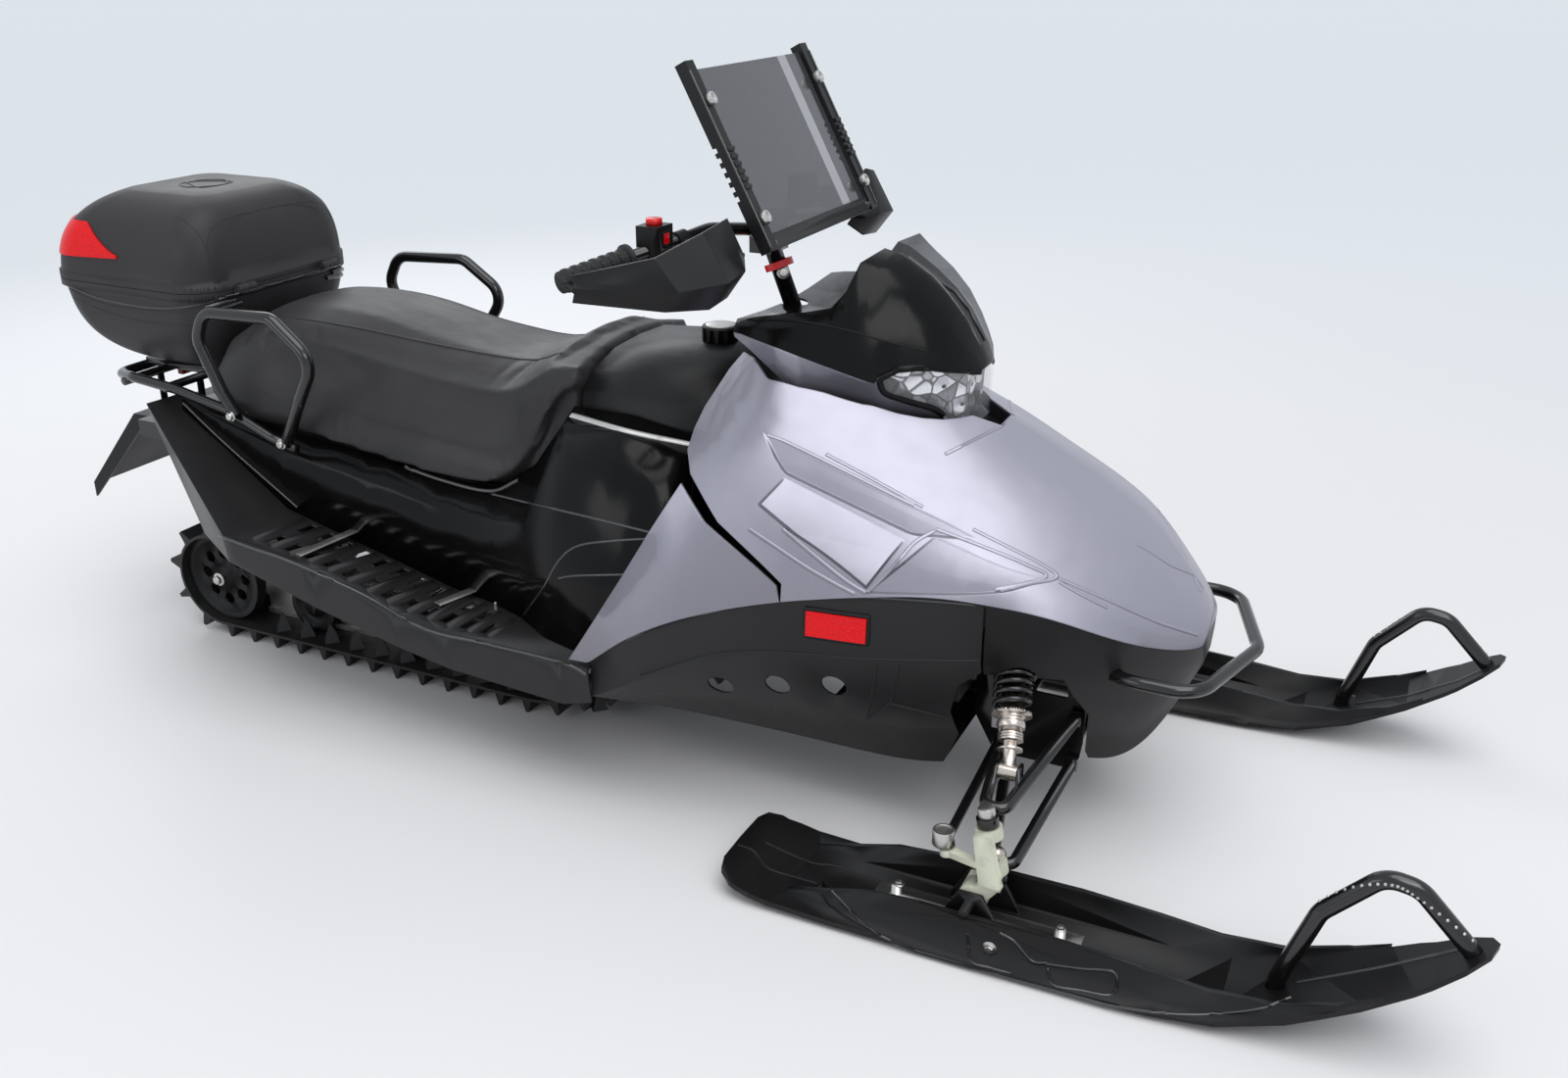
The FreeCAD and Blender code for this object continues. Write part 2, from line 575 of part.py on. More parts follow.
# Ski side wall, rear to front, (x, height above the floor) shares
SKI_WALL_SHARES = [
    (0.1031, 0.1111), (0.1659, 0.4815), (0.2287, 0.8519), (0.3004, 0.963), (0.3722, 0.963),
    (0.4978, 1), (0.6054, 0.8889), (0.6861, 0.6296), (0.7668, 0.3333), (0.8475, 0.1481),
    (0.8924, 0.0926),
]
# Ski loop route, (x, z) shares of the ski length and the tip height
LOOP_ROUTE_SHARES = [
    (0.7614, 0.1171), (0.765, 0.3024), (0.8009, 0.9171), (0.8655, 1.3073), (0.9049, 1.278),
    (0.9785, 0.878), (0.9749, 0.7707),
]

# Hand guard grid, inboard to outboard: rows of (x, y, z) along the lower, middle and upper lines
GUARD_GRID_SHARES = [
    [(0.6333, 0.5174, 0.8942), (0.68, 0.6087, 0.8692), (0.68, 0.7391, 0.8635),
     (0.56, 0.8957, 0.8712), (0.12, 0.9913, 0.8808)],
    [(0.7067, 0.513, 0.925), (0.7867, 0.6087, 0.9115), (0.7933, 0.7391, 0.9058),
     (0.6533, 0.9087, 0.9038), (0.1467, 1, 0.9)],
    [(0.64, 0.513, 0.9577), (0.6867, 0.6087, 0.9865), (0.6533, 0.7391, 0.975),
     (0.5, 0.8826, 0.9462), (0.1133, 0.987, 0.9192)],
]

# Front side plate, (x, z) shares of its length and height, and its openings
FRAME_PLATE_SHARES = [
    (0, 0.2194), (0.2041, 0), (0.9694, 0), (1, 0.1548), (1, 0.7355),
    (0.6122, 1), (0.1531, 1), (0, 0.6387),
]
FRAME_WINDOW_SHARES = [
    (0.1633, 0.1355), (0.4286, 0.1355), (0.4286, 0.271), (0.1633, 0.271),
]
FRAME_LIGHTENING_SHARES = [
    (0.5102, 0.4194), (0.8367, 0.4194), (0.8367, 0.6387), (0.5918, 0.8194), (0.5102, 0.8194),
]

# Plan of the top case's side lamps, (x, z) shares of the case length and lid height
CASE_LAMP_SHARES = [
    (-1.2174, 0.4535), (-0.9703, 0.4186), (-0.9153, 0.2791), (-0.7323, 0.1163), (-1.2174, 0.0698),
]


def at(x, y, z):
    return FreeCAD.Vector(x, y, z)


def box(x_low, x_high, y_low, y_high, z_low, z_high):
    return Part.makeBox(x_high - x_low, y_high - y_low, z_high - z_low, at(x_low, y_low, z_low))


def rod(start, end, radius):
    return Part.makeCylinder(radius, start.distanceToPoint(end), start, end - start)


def face_of(points):
    return Part.Face(Part.makePolygon(points + points[:1]))


def plate_xz(profile, y_low, y_high):
    face = face_of([at(x, y_low, z) for x, z in profile])
    return face.extrude(at(0, y_high - y_low, 0))


def plate_xy(profile, z_low, z_high):
    face = face_of([at(x, y, z_low) for x, y in profile])
    return face.extrude(at(0, 0, z_high - z_low))


def slab(profile):
    return plate_xz(profile, -WORLD, WORLD)


def mirrored(shape):
    return shape.mirror(at(0, 0, 0), at(0, 1, 0))


def both_sides(shapes):
    return list(shapes) + [mirrored(shape) for shape in shapes]


def united(shapes):
    return shapes[0].fuse(list(shapes[1:])).removeSplitter()


def places(shares, x_start, x_size, z_size, z_start=0.0):
    return [(x_start + x * x_size, z_start + z * z_size) for x, z in shares]


def sections(shares, x_start, length, half_width, height):
    return [(x_start + x * length, [(y * half_width, z * height) for y, z in half]) for x, half in shares]


# A tube through route points, each corner rounded by an arc that its two runs have room for.
def rounded_wire(points, bend):
    edges = []
    here = points[0]
    for before, corner, after in zip(points, points[1:], points[2:]):
        run_in = before - corner
        run_out = after - corner
        half_turn = (math.pi - run_in.getAngle(run_out)) / 2.0
        room = 0.45 * min(run_in.Length, run_out.Length)
        reach = min(bend * math.tan(half_turn), room)
        run_in.normalize()
        run_out.normalize()
        start = corner + run_in * reach
        end = corner + run_out * reach
        middle_way = run_in + run_out
        middle_way.normalize()
        radius = reach / math.tan(half_turn)
        middle = corner + middle_way * (radius / math.cos(half_turn) - radius)
        edges.append(Part.LineSegment(here, start).toShape())
        edges.append(Part.Arc(start, middle, end).toShape())
        here = end
    edges.append(Part.LineSegment(here, points[-1]).toShape())
    return Part.Wire(edges)


def tube(points, bend, radius):
    spine = rounded_wire(points, bend)
    start_way = points[1] - points[0]
    circle = Part.Wire([Part.makeCircle(radius, points[0], start_way)])
    return spine.makePipeShell([circle], True, False)


# Sections across the machine. A half outline runs from the top centre round to the bottom centre.
def ring(x, half):
    right = [at(x, y, z) for y, z in half]
    left = [at(x, -y, z) for y, z in reversed(half) if y > 0]
    return Part.makePolygon(right + left + right[:1])


def skin(rows, ruled=False):
    return Part.makeLoft([ring(x, half) for x, half in rows], True, ruled)


def offset_chain(chain, wall):
    moved = []
    ways = []
    for start, end in zip(chain, chain[1:]):
        run = math.hypot(end[0] - start[0], end[1] - start[1])
        ways.append(((end[1] - start[1]) / run, (start[0] - end[0]) / run))
    for index, point in enumerate(chain):
        first = ways[max(index - 1, 0)]
        second = ways[min(index, len(ways) - 1)]
        total = (first[0] + second[0], first[1] + second[1])
        reach = max(1.0 + first[0] * second[0] + first[1] * second[1], 0.5)
        moved.append((point[0] + wall * total[0] / reach, point[1] + wall * total[1] / reach))
    return moved


def inset(half, wall):
    start = (-half[1][0], half[1][1])
    end = (-half[-2][0], half[-2][1])
    return offset_chain([start] + list(half) + [end], wall)[1:-1]


def inner_form(rows, wall, rear_shift, front_shift, ruled=False):
    moved = [(x, inset(half, wall)) for x, half in rows]
    moved[0] = (moved[0][0] + rear_shift, moved[0][1])
    moved[-1] = (moved[-1][0] - front_shift, moved[-1][1])
    return skin(moved, ruled)


# A slab across the whole machine whose edge follows a smooth curve and closes by straight lines.
def curved_slab(curve, closing):
    spline = Part.BSplineCurve()
    spline.interpolate([at(x, -WORLD, z) for x, z in curve])
    corners = [curve[-1]] + closing + [curve[0]]
    lines = Part.makePolygon([at(x, -WORLD, z) for x, z in corners])
    wire = Part.Wire([spline.toShape()] + lines.Edges)
    return Part.Face(wire).extrude(at(0, WORLD + WORLD, 0))


# A right-hand panel of even wall from open outlines given rear to front, outer face first.
def side_shell(rows, wall):
    wires = []
    for x, chain in rows:
        inner = offset_chain(chain, wall)
        points = [at(x, y, z) for y, z in chain + inner[::-1]]
        wires.append(Part.makePolygon(points + points[:1]))
    return Part.makeLoft(wires, True, True)


# A folded plate over a grid of points, thickened along one direction.
def folded_plate(grid, thickness):
    back = [[point + thickness for point in row] for row in grid]
    faces = []
    for low, high, low_back, high_back in zip(grid, grid[1:], back, back[1:]):
        for a, b, c, d in zip(low, low[1:], high[1:], high):
            faces += [face_of([a, b, c]), face_of([a, c, d])]
        for a, b, c, d in zip(low_back, low_back[1:], high_back[1:], high_back):
            faces += [face_of([a, c, b]), face_of([a, d, c])]
    borders = [(grid[0], back[0]), (grid[-1], back[-1])]
    borders.append(([row[0] for row in grid], [row[0] for row in back]))
    borders.append(([row[-1] for row in grid], [row[-1] for row in back]))
    for front, rear in borders:
        for a, b, c, d in zip(front, front[1:], rear[1:], rear):
            faces += [face_of([a, b, c]), face_of([a, c, d])]
    solid = Part.Solid(Part.Shell(faces))
    solid.fix(0.001, 0.001, 0.001)
    return solid


def save(name, shapes):
    solids = []
    for shape in shapes:
        solids += shape.Solids
    Part.makeCompound(solids).exportStep("parts/" + name + ".step")


# Track: the inner loop runs round the idler, the rails' nose and the drive sprockets.
def belt_floor_z():
    return GROUND_CLEAR + LUG_HEIGHT + BELT_THICK


def track_circles():
    floor = belt_floor_z()
    idler = (IDLER_X, floor + IDLER_RADIUS, IDLER_RADIUS)
    nose = (RAIL_NOSE_X, floor + RAIL_NOSE_RADIUS, RAIL_NOSE_RADIUS)
    drive = (DRIVE_X, DRIVE_Z, DRIVE_RADIUS)
    return [idler, nose, drive]


# Loop pieces as (kind, data, length): each tangent run, then the arc round the next circle.
def loop_pieces(circles):
    runs = []
    for first, second in zip(circles, circles[1:] + circles[:1]):
        dx = second[0] - first[0]
        dz = second[1] - first[1]
        gap = math.hypot(dx, dz)
        way = math.atan2(dz, dx)
        turn = way - math.pi / 2.0 - math.asin((second[2] - first[2]) / gap)
        normal = (math.cos(turn), math.sin(turn))
        start = (first[0] + first[2] * normal[0], first[1] + first[2] * normal[1])
        end = (second[0] + second[2] * normal[0], second[1] + second[2] * normal[1])
        runs.append((start, end, turn))
    pieces = []
    for index, run in enumerate(runs):
        start, end, turn = run
        pieces.append(("run", (start, end, turn), math.hypot(end[0] - start[0], end[1] - start[1])))
        following = runs[(index + 1) % len(runs)]
        circle = circles[(index + 1) % len(circles)]
        sweep = (following[2] - turn) % (math.pi + math.pi)
        pieces.append(("arc", (circle, turn, sweep), circle[2] * sweep))
    return pieces


# The point at a length along the loop, moved outward from it by a height.
def loop_point(pieces, distance, height):
    total = sum(piece[2] for piece in pieces)
    distance = distance % total
    for kind, data, length in pieces:
        if distance <= length:
            break
        distance -= length
    if kind == "run":
        start, end, turn = data
        share = distance / length
        x = start[0] + (end[0] - start[0]) * share + height * math.cos(turn)
        z = start[1] + (end[1] - start[1]) * share + height * math.sin(turn)
        return (x, z)
    circle, turn, sweep = data
    angle = turn + sweep * distance / length
    reach = circle[2] + height
    return (circle[0] + reach * math.cos(angle), circle[1] + reach * math.sin(angle))


# Lug outline over one pitch as (pitch share, height share of the lug)
LUG_SHARES = [(0.0, 0.0), (0.16, 0.0), (0.27, 1.0), (0.36, 1.0), (0.47, 0.0), (0.74, 0.0)]


def belt_strip(pieces, lug_shares, shift, y_low, y_high):
    total = sum(piece[2] for piece in pieces)
    count = round(total / LUG_PITCH)
    pitch = total / count
    outer = []
    inner = []
    for index in range(count):
        for share, height in lug_shares:
            distance = (index + share + shift) * pitch
            outer.append(loop_point(pieces, distance, BELT_THICK + LUG_HEIGHT * height))
        for share in (0.0, 0.25, 0.5, 0.75):
            inner.append(loop_point(pieces, (index + share) * pitch, 0.0))
    whole = plate_xz(outer, y_low, y_high)
    return whole.cut(plate_xz(inner, y_low, y_high))


def make_track():
    pieces = loop_pieces(track_circles())
    lane = TRACK_LANE_HALF
    strips = [
        belt_strip(pieces, LUG_SHARES, 0.0, -TRACK_HALF, -lane),
        belt_strip(pieces, LUG_SHARES, 0.5, -lane, lane),
        belt_strip(pieces, LUG_SHARES, 0.0, lane, TRACK_HALF),
    ]
    save("track", [united(strips)])


# Rear idlers on one axle, each with a rim, a web with round holes and a hub.
def wheel(x, y, z, radius, width):
    disc = rod(at(x, y - width / 2.0, z), at(x, y + width / 2.0, z), radius)
    web_space = (width - IDLER_WEB) / 2.0
    for side in (-1.0, 1.0):
        middle = y + side * (width / 2.0 - web_space / 2.0)
        recess = rod(at(x, middle - web_space / 2.0, z), at(x, middle + web_space / 2.0, z),
                     radius - IDLER_RIM)
        hub = rod(at(x, middle - web_space / 2.0, z), at(x, middle + web_space / 2.0, z), IDLER_HUB_RADIUS)
        disc = disc.cut(recess.cut(hub))
    return disc


def idler_wheel(y):
    z = belt_floor_z() + IDLER_RADIUS
    disc = wheel(IDLER_X, y, z, IDLER_RADIUS - WHEEL_FIT, IDLER_WIDTH)
    holes = []
    for index in range(8):
        angle = index * math.pi / 4.0
        x = IDLER_X + IDLER_HOLE_RING * math.cos(angle)
        height = z + IDLER_HOLE_RING * math.sin(angle)
        holes.append(rod(at(x, y - IDLER_WIDTH, height), at(x, y + IDLER_WIDTH, height),
                         IDLER_HOLE_RADIUS))
    return disc.cut(holes)


def make_rear_idlers():
    z = belt_floor_z() + IDLER_RADIUS
    reach = IDLER_Y + IDLER_WIDTH / 2.0 + AXLE_RADIUS
    axle = rod(at(IDLER_X, -reach, z), at(IDLER_X, reach, z), AXLE_RADIUS)
    save("rear_idlers", [united([axle, idler_wheel(-IDLER_Y), idler_wheel(IDLER_Y)])])


def make_bogie_wheels():
    z = belt_floor_z() + BOGIE_RADIUS
    shapes = []
    for index in range(3):
        x = BOGIE_REAR_X + index * BOGIE_SPACING
        wheels = [wheel(x, y, z, BOGIE_RADIUS - WHEEL_FIT, BOGIE_WIDTH) for y in (-BOGIE_Y, BOGIE_Y)]
        reach = BOGIE_Y + BOGIE_WIDTH / 2.0
        axle = rod(at(x, -reach, z), at(x, reach, z), AXLE_RADIUS)
        shapes.append(united([axle] + wheels))
    save("bogie_wheels", shapes)


def inner_axle_bores():
    z = belt_floor_z() + BOGIE_RADIUS
    cutters = []
    for index in range(3):
        x = BOGIE_REAR_X + index * BOGIE_SPACING
        cutters.append(rod(at(x, -TRACK_HALF, z), at(x, TRACK_HALF, z), AXLE_RADIUS + SEAT_FIT))
    z = belt_floor_z() + IDLER_RADIUS
    cutters.append(rod(at(IDLER_X, -TRACK_HALF, z), at(IDLER_X, TRACK_HALF, z), AXLE_RADIUS + SEAT_FIT))
    return cutters


def make_slide_rails():
    floor = belt_floor_z()
    foot = floor + SLIDER_HEIGHT
    inner = RAIL_Y - RAIL_WIDTH / 2.0
    outer = RAIL_Y + RAIL_WIDTH / 2.0
    rail = plate_xz(places(RAIL_SHARES, RAIL_REAR_X, RAIL_LENGTH, RAIL_RISE, foot), inner, outer)
    slider = box(RAIL_REAR_X, RAIL_NOSE_X, RAIL_Y - SLIDER_HALF, RAIL_Y + SLIDER_HALF,
                 floor + SEAT_FIT, foot)
    axle_z = floor + IDLER_RADIUS
    half = RAIL_HEIGHT / 2.0
    profile = [(IDLER_X - half, axle_z - half), (RAIL_REAR_X + RAIL_HEIGHT, foot)]
    profile += [(RAIL_REAR_X + 2.0 * RAIL_HEIGHT, foot + half), (IDLER_X + half, axle_z + half)]
    profile.append((IDLER_X - half, axle_z + half))
    one = united([rail, slider, plate_xz(profile, inner, outer)]).cut(inner_axle_bores())
    save("slide_rails", both_sides([one]))


def make_drive_axle():
    reach = TUNNEL_OUTER_HALF - TUNNEL_SHEET - SEAT_FIT
    shapes = [rod(at(DRIVE_X, -reach, DRIVE_Z), at(DRIVE_X, reach, DRIVE_Z), DRIVE_SHAFT_RADIUS)]
    root = DRIVE_RADIUS - SPROCKET_TOOTH
    steps = 2 * SPROCKET_TEETH
    outline = []
    for index in range(2 * steps):
        angle = index * math.pi / steps
        reach = root if index % 4 < 2 else DRIVE_RADIUS - WHEEL_FIT
        outline.append((DRIVE_X + reach * math.cos(angle), DRIVE_Z + reach * math.sin(angle)))
    for y in (-SPROCKET_Y, SPROCKET_Y):
        shapes.append(plate_xz(outline, y - SPROCKET_WIDTH / 2.0, y + SPROCKET_WIDTH / 2.0))
    save("drive_axle", [united(shapes)])


# Two swing arms and a damper that hold the slide rails under the tunnel.
def swing_arm(top_x, top_z, foot_x):
    inner = RAIL_Y - RAIL_WIDTH / 2.0 - SEAT_FIT
    reach = TUNNEL_OUTER_HALF - TUNNEL_SHEET - SEAT_FIT
    foot_z = belt_floor_z() + SLIDER_HEIGHT + RAIL_HEIGHT / 2.0
    top = rod(at(top_x, -reach, top_z), at(top_x, reach, top_z), SWING_TUBE_RADIUS)
    foot = rod(at(foot_x, -inner, foot_z), at(foot_x, inner, foot_z), SWING_FOOT_RADIUS)
    leg_y = inner - SWING_FOOT_RADIUS
    legs = [rod(at(top_x, y, top_z), at(foot_x, y, foot_z), SWING_TUBE_RADIUS) for y in (-leg_y, leg_y)]
    return united([top, foot] + legs)


def make_track_suspension():
    front = swing_arm(SWING_FRONT_X, SWING_FRONT_Z, SWING_FRONT_FOOT_X)
    rear = swing_arm(SWING_REAR_X, SWING_REAR_Z, SWING_REAR_FOOT_X)
    foot_z = belt_floor_z() + SLIDER_HEIGHT + RAIL_HEIGHT / 2.0
    top = at(SWING_REAR_X, 0, SWING_REAR_Z)
    damper = rod(at(SWING_FRONT_FOOT_X, 0, foot_z), top, SWING_DAMPER_RADIUS)
    save("track_suspension", [united([front, rear, damper])])


# Tunnel with a closed front end and a round hole for the drive shaft's ends.
def make_tunnel():
    profile = places(TUNNEL_SIDE_SHARES, TUNNEL_REAR_X, TUNNEL_LENGTH, TUNNEL_TOP_Z)
    inner_half = TUNNEL_OUTER_HALF - TUNNEL_SHEET
    front_x = TUNNEL_REAR_X + TUNNEL_LENGTH
    body = plate_xz(profile, -TUNNEL_OUTER_HALF, TUNNEL_OUTER_HALF)
    room = box(TUNNEL_REAR_X - OVERRUN, front_x - TUNNEL_SHEET, -inner_half, inner_half, 0,
               TUNNEL_TOP_Z - TUNNEL_SHEET)
    save("tunnel", [body.cut(room)])


def board_rows():
    return sections(BOARD_SECTION_SHARES, BOARD_REAR_X, BOARD_LENGTH, BOARD_OUTER_Y, BOARD_HEIGHT)


# Height of the board's foot face at a place, between the inner and outer edges of its sections.
def board_height(x, y):
    rows = board_rows()
    for (x_low, low), (x_high, high) in zip(rows, rows[1:]):
        if x_low <= x <= x_high:
            share = (x - x_low) / (x_high - x_low)
            inner = low[1][1] + (high[1][1] - low[1][1]) * share
            outer = low[2][1] + (high[2][1] - low[2][1]) * share
            across = (y - low[1][0]) / (low[2][0] - low[1][0])
            return inner + (outer - inner) * across
    return rows[-1][1][1][1]


def cover_rows():
    return sections(COVER_SECTION_SHARES, COVER_REAR_X, COVER_LENGTH, COVER_HALF_WIDTH, COVER_HEIGHT)


# The side cover's foot on the board, which the cleats and slots keep clear of
def cover_foot_y(x):
    rows = cover_rows()
    for (x_low, low), (x_high, high) in zip(rows, rows[1:]):
        if x_low <= x <= x_high:
            return low[-1][0] + (high[-1][0] - low[-1][0]) * (x - x_low) / (x_high - x_low)
    return rows[0][1][-1][0]


def cleat(x):
    ends = [cover_foot_y(x + CLEAT_WIDTH) + CLEAT_FOOT_GAP, CLEAT_OUTER_Y]
    wires = []
    for y in ends:
        points = []
        for shift, lift in ((-1.0, -1.0), (1.0, -1.0), (0.7, 1.0), (-0.7, 1.0)):
            along = x + shift * CLEAT_WIDTH / 2.0
            foot = BOARD_WALL / 2.0 if lift < 0 else CLEAT_HEIGHT
            points.append(at(along, y, board_height(along, y) + lift * foot))
        wires.append(Part.makePolygon(points + points[:1]))
    return Part.makeLoft(wires, True, True)


def board_slot(x, y):
    floor = board_height(x, y)
    return box(x - SLOT_WIDTH / 2.0, x + SLOT_WIDTH / 2.0, y, y + SLOT_LENGTH, floor - OVERRUN,
               floor + OVERRUN)


def make_running_boards():
    board = side_shell(board_rows(), BOARD_WALL)
    cleats = [cleat(CLEAT_FIRST_X + index * CLEAT_PITCH) for index in range(CLEAT_COUNT)]
    slots = []
    for index in range(CLEAT_COUNT - 1):
        x = CLEAT_FIRST_X + (index + 0.5) * CLEAT_PITCH
        inner_y = cover_foot_y(x + SLOT_WIDTH) + CLEAT_FOOT_GAP
        if inner_y + SLOT_LENGTH < SLOT_OUTER_Y:
            slots.append(board_slot(x, inner_y))
        slots.append(board_slot(x, SLOT_OUTER_Y))
    board = united([board.cut(slots)] + cleats)
    save("running_boards", both_sides([board]))


def make_side_covers():
    save("side_covers", both_sides([side_shell(cover_rows(), COVER_WALL)]))


# The seat and the tank each stand on the tunnel by a narrower base under their lower edge.
def on_tunnel(rows, base_half):
    foot = TUNNEL_TOP_Z + SEAT_FIT
    return [(x, half + [(base_half, foot), (0, foot)]) for x, half in rows]


def make_seat():
    rows = sections(SEAT_SECTION_SHARES, SEAT_REAR_X, SEAT_LENGTH, SEAT_HALF_WIDTH, SEAT_HEIGHT)
    base_half = rows[0][1][-1][0]
    save("seat", [skin(on_tunnel(rows, base_half))])


def make_fuel_tank():
    rows = sections(TANK_SECTION_SHARES, TANK_REAR_X, TANK_LENGTH, TANK_HALF_WIDTH, TANK_HEIGHT)
    tank = skin(on_tunnel(rows, rows[-1][1][-1][0]))
    neck = rod(at(CAP_X, 0, TANK_HEIGHT - CAP_NECK_HEIGHT),
               at(CAP_X, 0, TANK_HEIGHT + CAP_NECK_HEIGHT / 2.0),
               CAP_NECK_RADIUS)
    save("fuel_tank", [united([tank, neck])])


def make_fuel_cap():
    foot = TANK_HEIGHT + CAP_NECK_HEIGHT / 2.0 + SEAT_FIT
    cap = rod(at(CAP_X, 0, foot), at(CAP_X, 0, foot + CAP_HEIGHT), CAP_RADIUS)
    skirt = rod(at(CAP_X, 0, foot - CAP_NECK_HEIGHT / 2.0), at(CAP_X, 0, foot), CAP_RADIUS)
    bore = rod(at(CAP_X, 0, foot - CAP_NECK_HEIGHT), at(CAP_X, 0, foot), CAP_NECK_RADIUS + PIN_FIT)
    top_edge = [edge for edge in cap.Edges if edge.BoundBox.ZMin > foot + CAP_HEIGHT / 2.0]
    cap = cap.makeFillet(CAP_HEIGHT * 0.2, top_edge[:1])
    grips = []
    for index in range(CAP_GRIPS):
        angle = index * 2.0 * math.pi / CAP_GRIPS
        x = CAP_X + CAP_RADIUS * math.cos(angle)
        y = CAP_RADIUS * math.sin(angle)
        grips.append(rod(at(x, y, foot - OVERRUN), at(x, y, foot + CAP_HEIGHT * 0.8), CAP_GRIP_RADIUS))
    save("fuel_cap", [united([cap, skirt]).cut(bore).cut(grips)])


# Front bodywork. One hollow form is cut along the real seams into its panels.
def body_rows():
    return sections(BODY_SECTION_SHARES, BODY_REAR_X, BODY_LENGTH, BODY_HALF_WIDTH, BODY_HEIGHT)


def body_shell():
    rows = body_rows()
    return skin(rows).cut(inner_form(rows, PANEL_WALL, -OVERRUN, PANEL_WALL))


def seam_line(shift):
    return [(x, (half[4][1] + half[5][1]) / 2.0 + shift) for x, half in body_rows()]


def above_seam():
    line = seam_line(0.0)
    front = line[-1][0] + OVERRUN
    closing = [(front, line[-1][1]), (front, WORLD), (line[0][0] - OVERRUN, WORLD)]
    return curved_slab(line, closing + [(line[0][0] - OVERRUN, line[0][1])])


def below_seam():
    line = seam_line(-PANEL_SEAM)
    front = line[-1][0] + OVERRUN
    closing = [(front, line[-1][1]), (front, -OVERRUN), (line[0][0] - OVERRUN, -OVERRUN)]
    return curved_slab(line, closing + [(line[0][0] - OVERRUN, line[0][1])])


def body_places(shares):
    return places(shares, BODY_REAR_X, BODY_LENGTH, BODY_HEIGHT)


def pod_rows():
    return sections(POD_SECTION_SHARES, POD_REAR_X, POD_LENGTH, POD_HALF_WIDTH, POD_HEIGHT)


def column_point(distance):
    lean = math.radians(COLUMN_LEAN)
    return at(COLUMN_X - distance * math.sin(lean), 0, COLUMN_Z + distance * math.cos(lean))


def column_room():
    return rod(column_point(-COLUMN_DOWN - OVERRUN), column_point(COLUMN_UP), BAR_CLAMP_RADIUS + PART_GAP)


def make_hood(shell):
    rear = body_places(HOOD_REAR_SHARES)
    outline = [(rear[0][0], 0)] + rear + [(rear[-1][0], WORLD), (WORLD, WORLD), (WORLD, 0)]
    hood = shell.common(above_seam()).common(slab(outline))
    pocket = inner_form(pod_rows(), -POD_POCKET_GAP, -OVERRUN, -POD_POCKET_REACH, True)
    save("hood", [hood.cut(pocket).cut(column_room())])


def make_side_panels(shell):
    panel = shell.common(above_seam()).common(slab(body_places(SIDE_PANEL_SHARES)))
    save("side_panels", [panel])


def make_belly_pan(shell):
    pan = shell.common(below_seam()).common(slab(body_places(BELLY_SHARES)))
    half = TUNNEL_OUTER_HALF + SEAT_FIT
    front_x = TUNNEL_REAR_X + TUNNEL_LENGTH + SEAT_FIT
    pan = pan.cut(box(SIDE_SPLIT_X - OVERRUN, front_x, -half, half, 0, TUNNEL_TOP_Z))
    holes = []
    for index in range(3):
        x = PAN_HOLE_FIRST_X + index * PAN_HOLE_SPACING
        z = PAN_HOLE_FIRST_Z + index * PAN_HOLE_RISE
        holes.append(rod(at(x, -WORLD, z), at(x, -PAN_HOLE_Y, z), PAN_HOLE_RADIUS))
        holes.append(rod(at(x, PAN_HOLE_Y, z), at(x, WORLD, z), PAN_HOLE_RADIUS))
    save("belly_pan", [pan.cut(holes)])


def make_nose_pan(shell):
    pan = shell.common(below_seam()).common(slab(body_places(NOSE_SHARES)))
    shock_room = shock_part(-SPRING_LOW_SHARE, 1.0 + SPRING_LOW_SHARE, SHOCK_CUP_RADIUS + PART_GAP)
    pan = pan.cut([bumper_tube(BUMPER_TUBE_RADIUS + SEAT_FIT)] + both_sides([shock_room]))
    save("nose_pan", [pan])


def make_side_reflectors():
    rows = body_rows()
    outer = inner_form(rows, -REFLECTOR_THICK, 0, 0)
    layer = outer.cut(inner_form(rows, -SEAT_FIT, -OVERRUN, -OVERRUN))
    x_high = REFLECTOR_X + REFLECTOR_LENGTH
    z_high = REFLECTOR_Z + REFLECTOR_HEIGHT
    inner_y = BODY_HALF_WIDTH / 2.0
    right = layer.common(box(REFLECTOR_X, x_high, -WORLD, -inner_y, REFLECTOR_Z, z_high))
    save("side_reflectors", both_sides([right]))


def bumper_tube(radius):
    half = [at(BUMPER_REAR_X, BUMPER_REAR_Y, BUMPER_Z - BUMPER_DROP),
            at(BUMPER_SIDE_X, BUMPER_HALF_WIDTH, BUMPER_Z)]
    half += [at(BUMPER_BEND_X, BUMPER_HALF_WIDTH, BUMPER_Z), at(BUMPER_TIP_X, 0, BUMPER_Z)]
    other = [at(point.x, -point.y, point.z) for point in half[:-1]]
    reach = FRAME_HALF_WIDTH + FRAME_PLATE + SEAT_FIT
    frame_room = box(0, BUMPER_SIDE_X, -reach, reach, 0, WORLD)
    return tube(half + other[::-1], BUMPER_BEND, radius).cut(frame_room)


def make_front_bumper():
    save("front_bumper", [bumper_tube(BUMPER_TUBE_RADIUS)])


# Lamp pod: cowl below its seam, fairing above it, lens and lamp housing at the front.
def pod_slab(seam, above, shift):
    line = [(x, z + shift) for x, z in places(seam, POD_REAR_X, POD_LENGTH, POD_HEIGHT)]
    top = WORLD if above else 0
    return slab(line + [(line[-1][0] + WORLD, line[-1][1]), (line[-1][0] + WORLD, top), (line[0][0], top)])


def lens_slab(shift):
    upper = places(FAIRING_SEAM_SHARES, POD_REAR_X, POD_LENGTH, POD_HEIGHT)
    lower = places(LENS_LOW_SHARES, POD_REAR_X, POD_LENGTH, POD_HEIGHT)
    line = [(x, z - shift) for x, z in upper if x > lower[0][0]]
    return slab(line + [(x + 2.0 * shift, z + shift) for x, z in reversed(lower)])


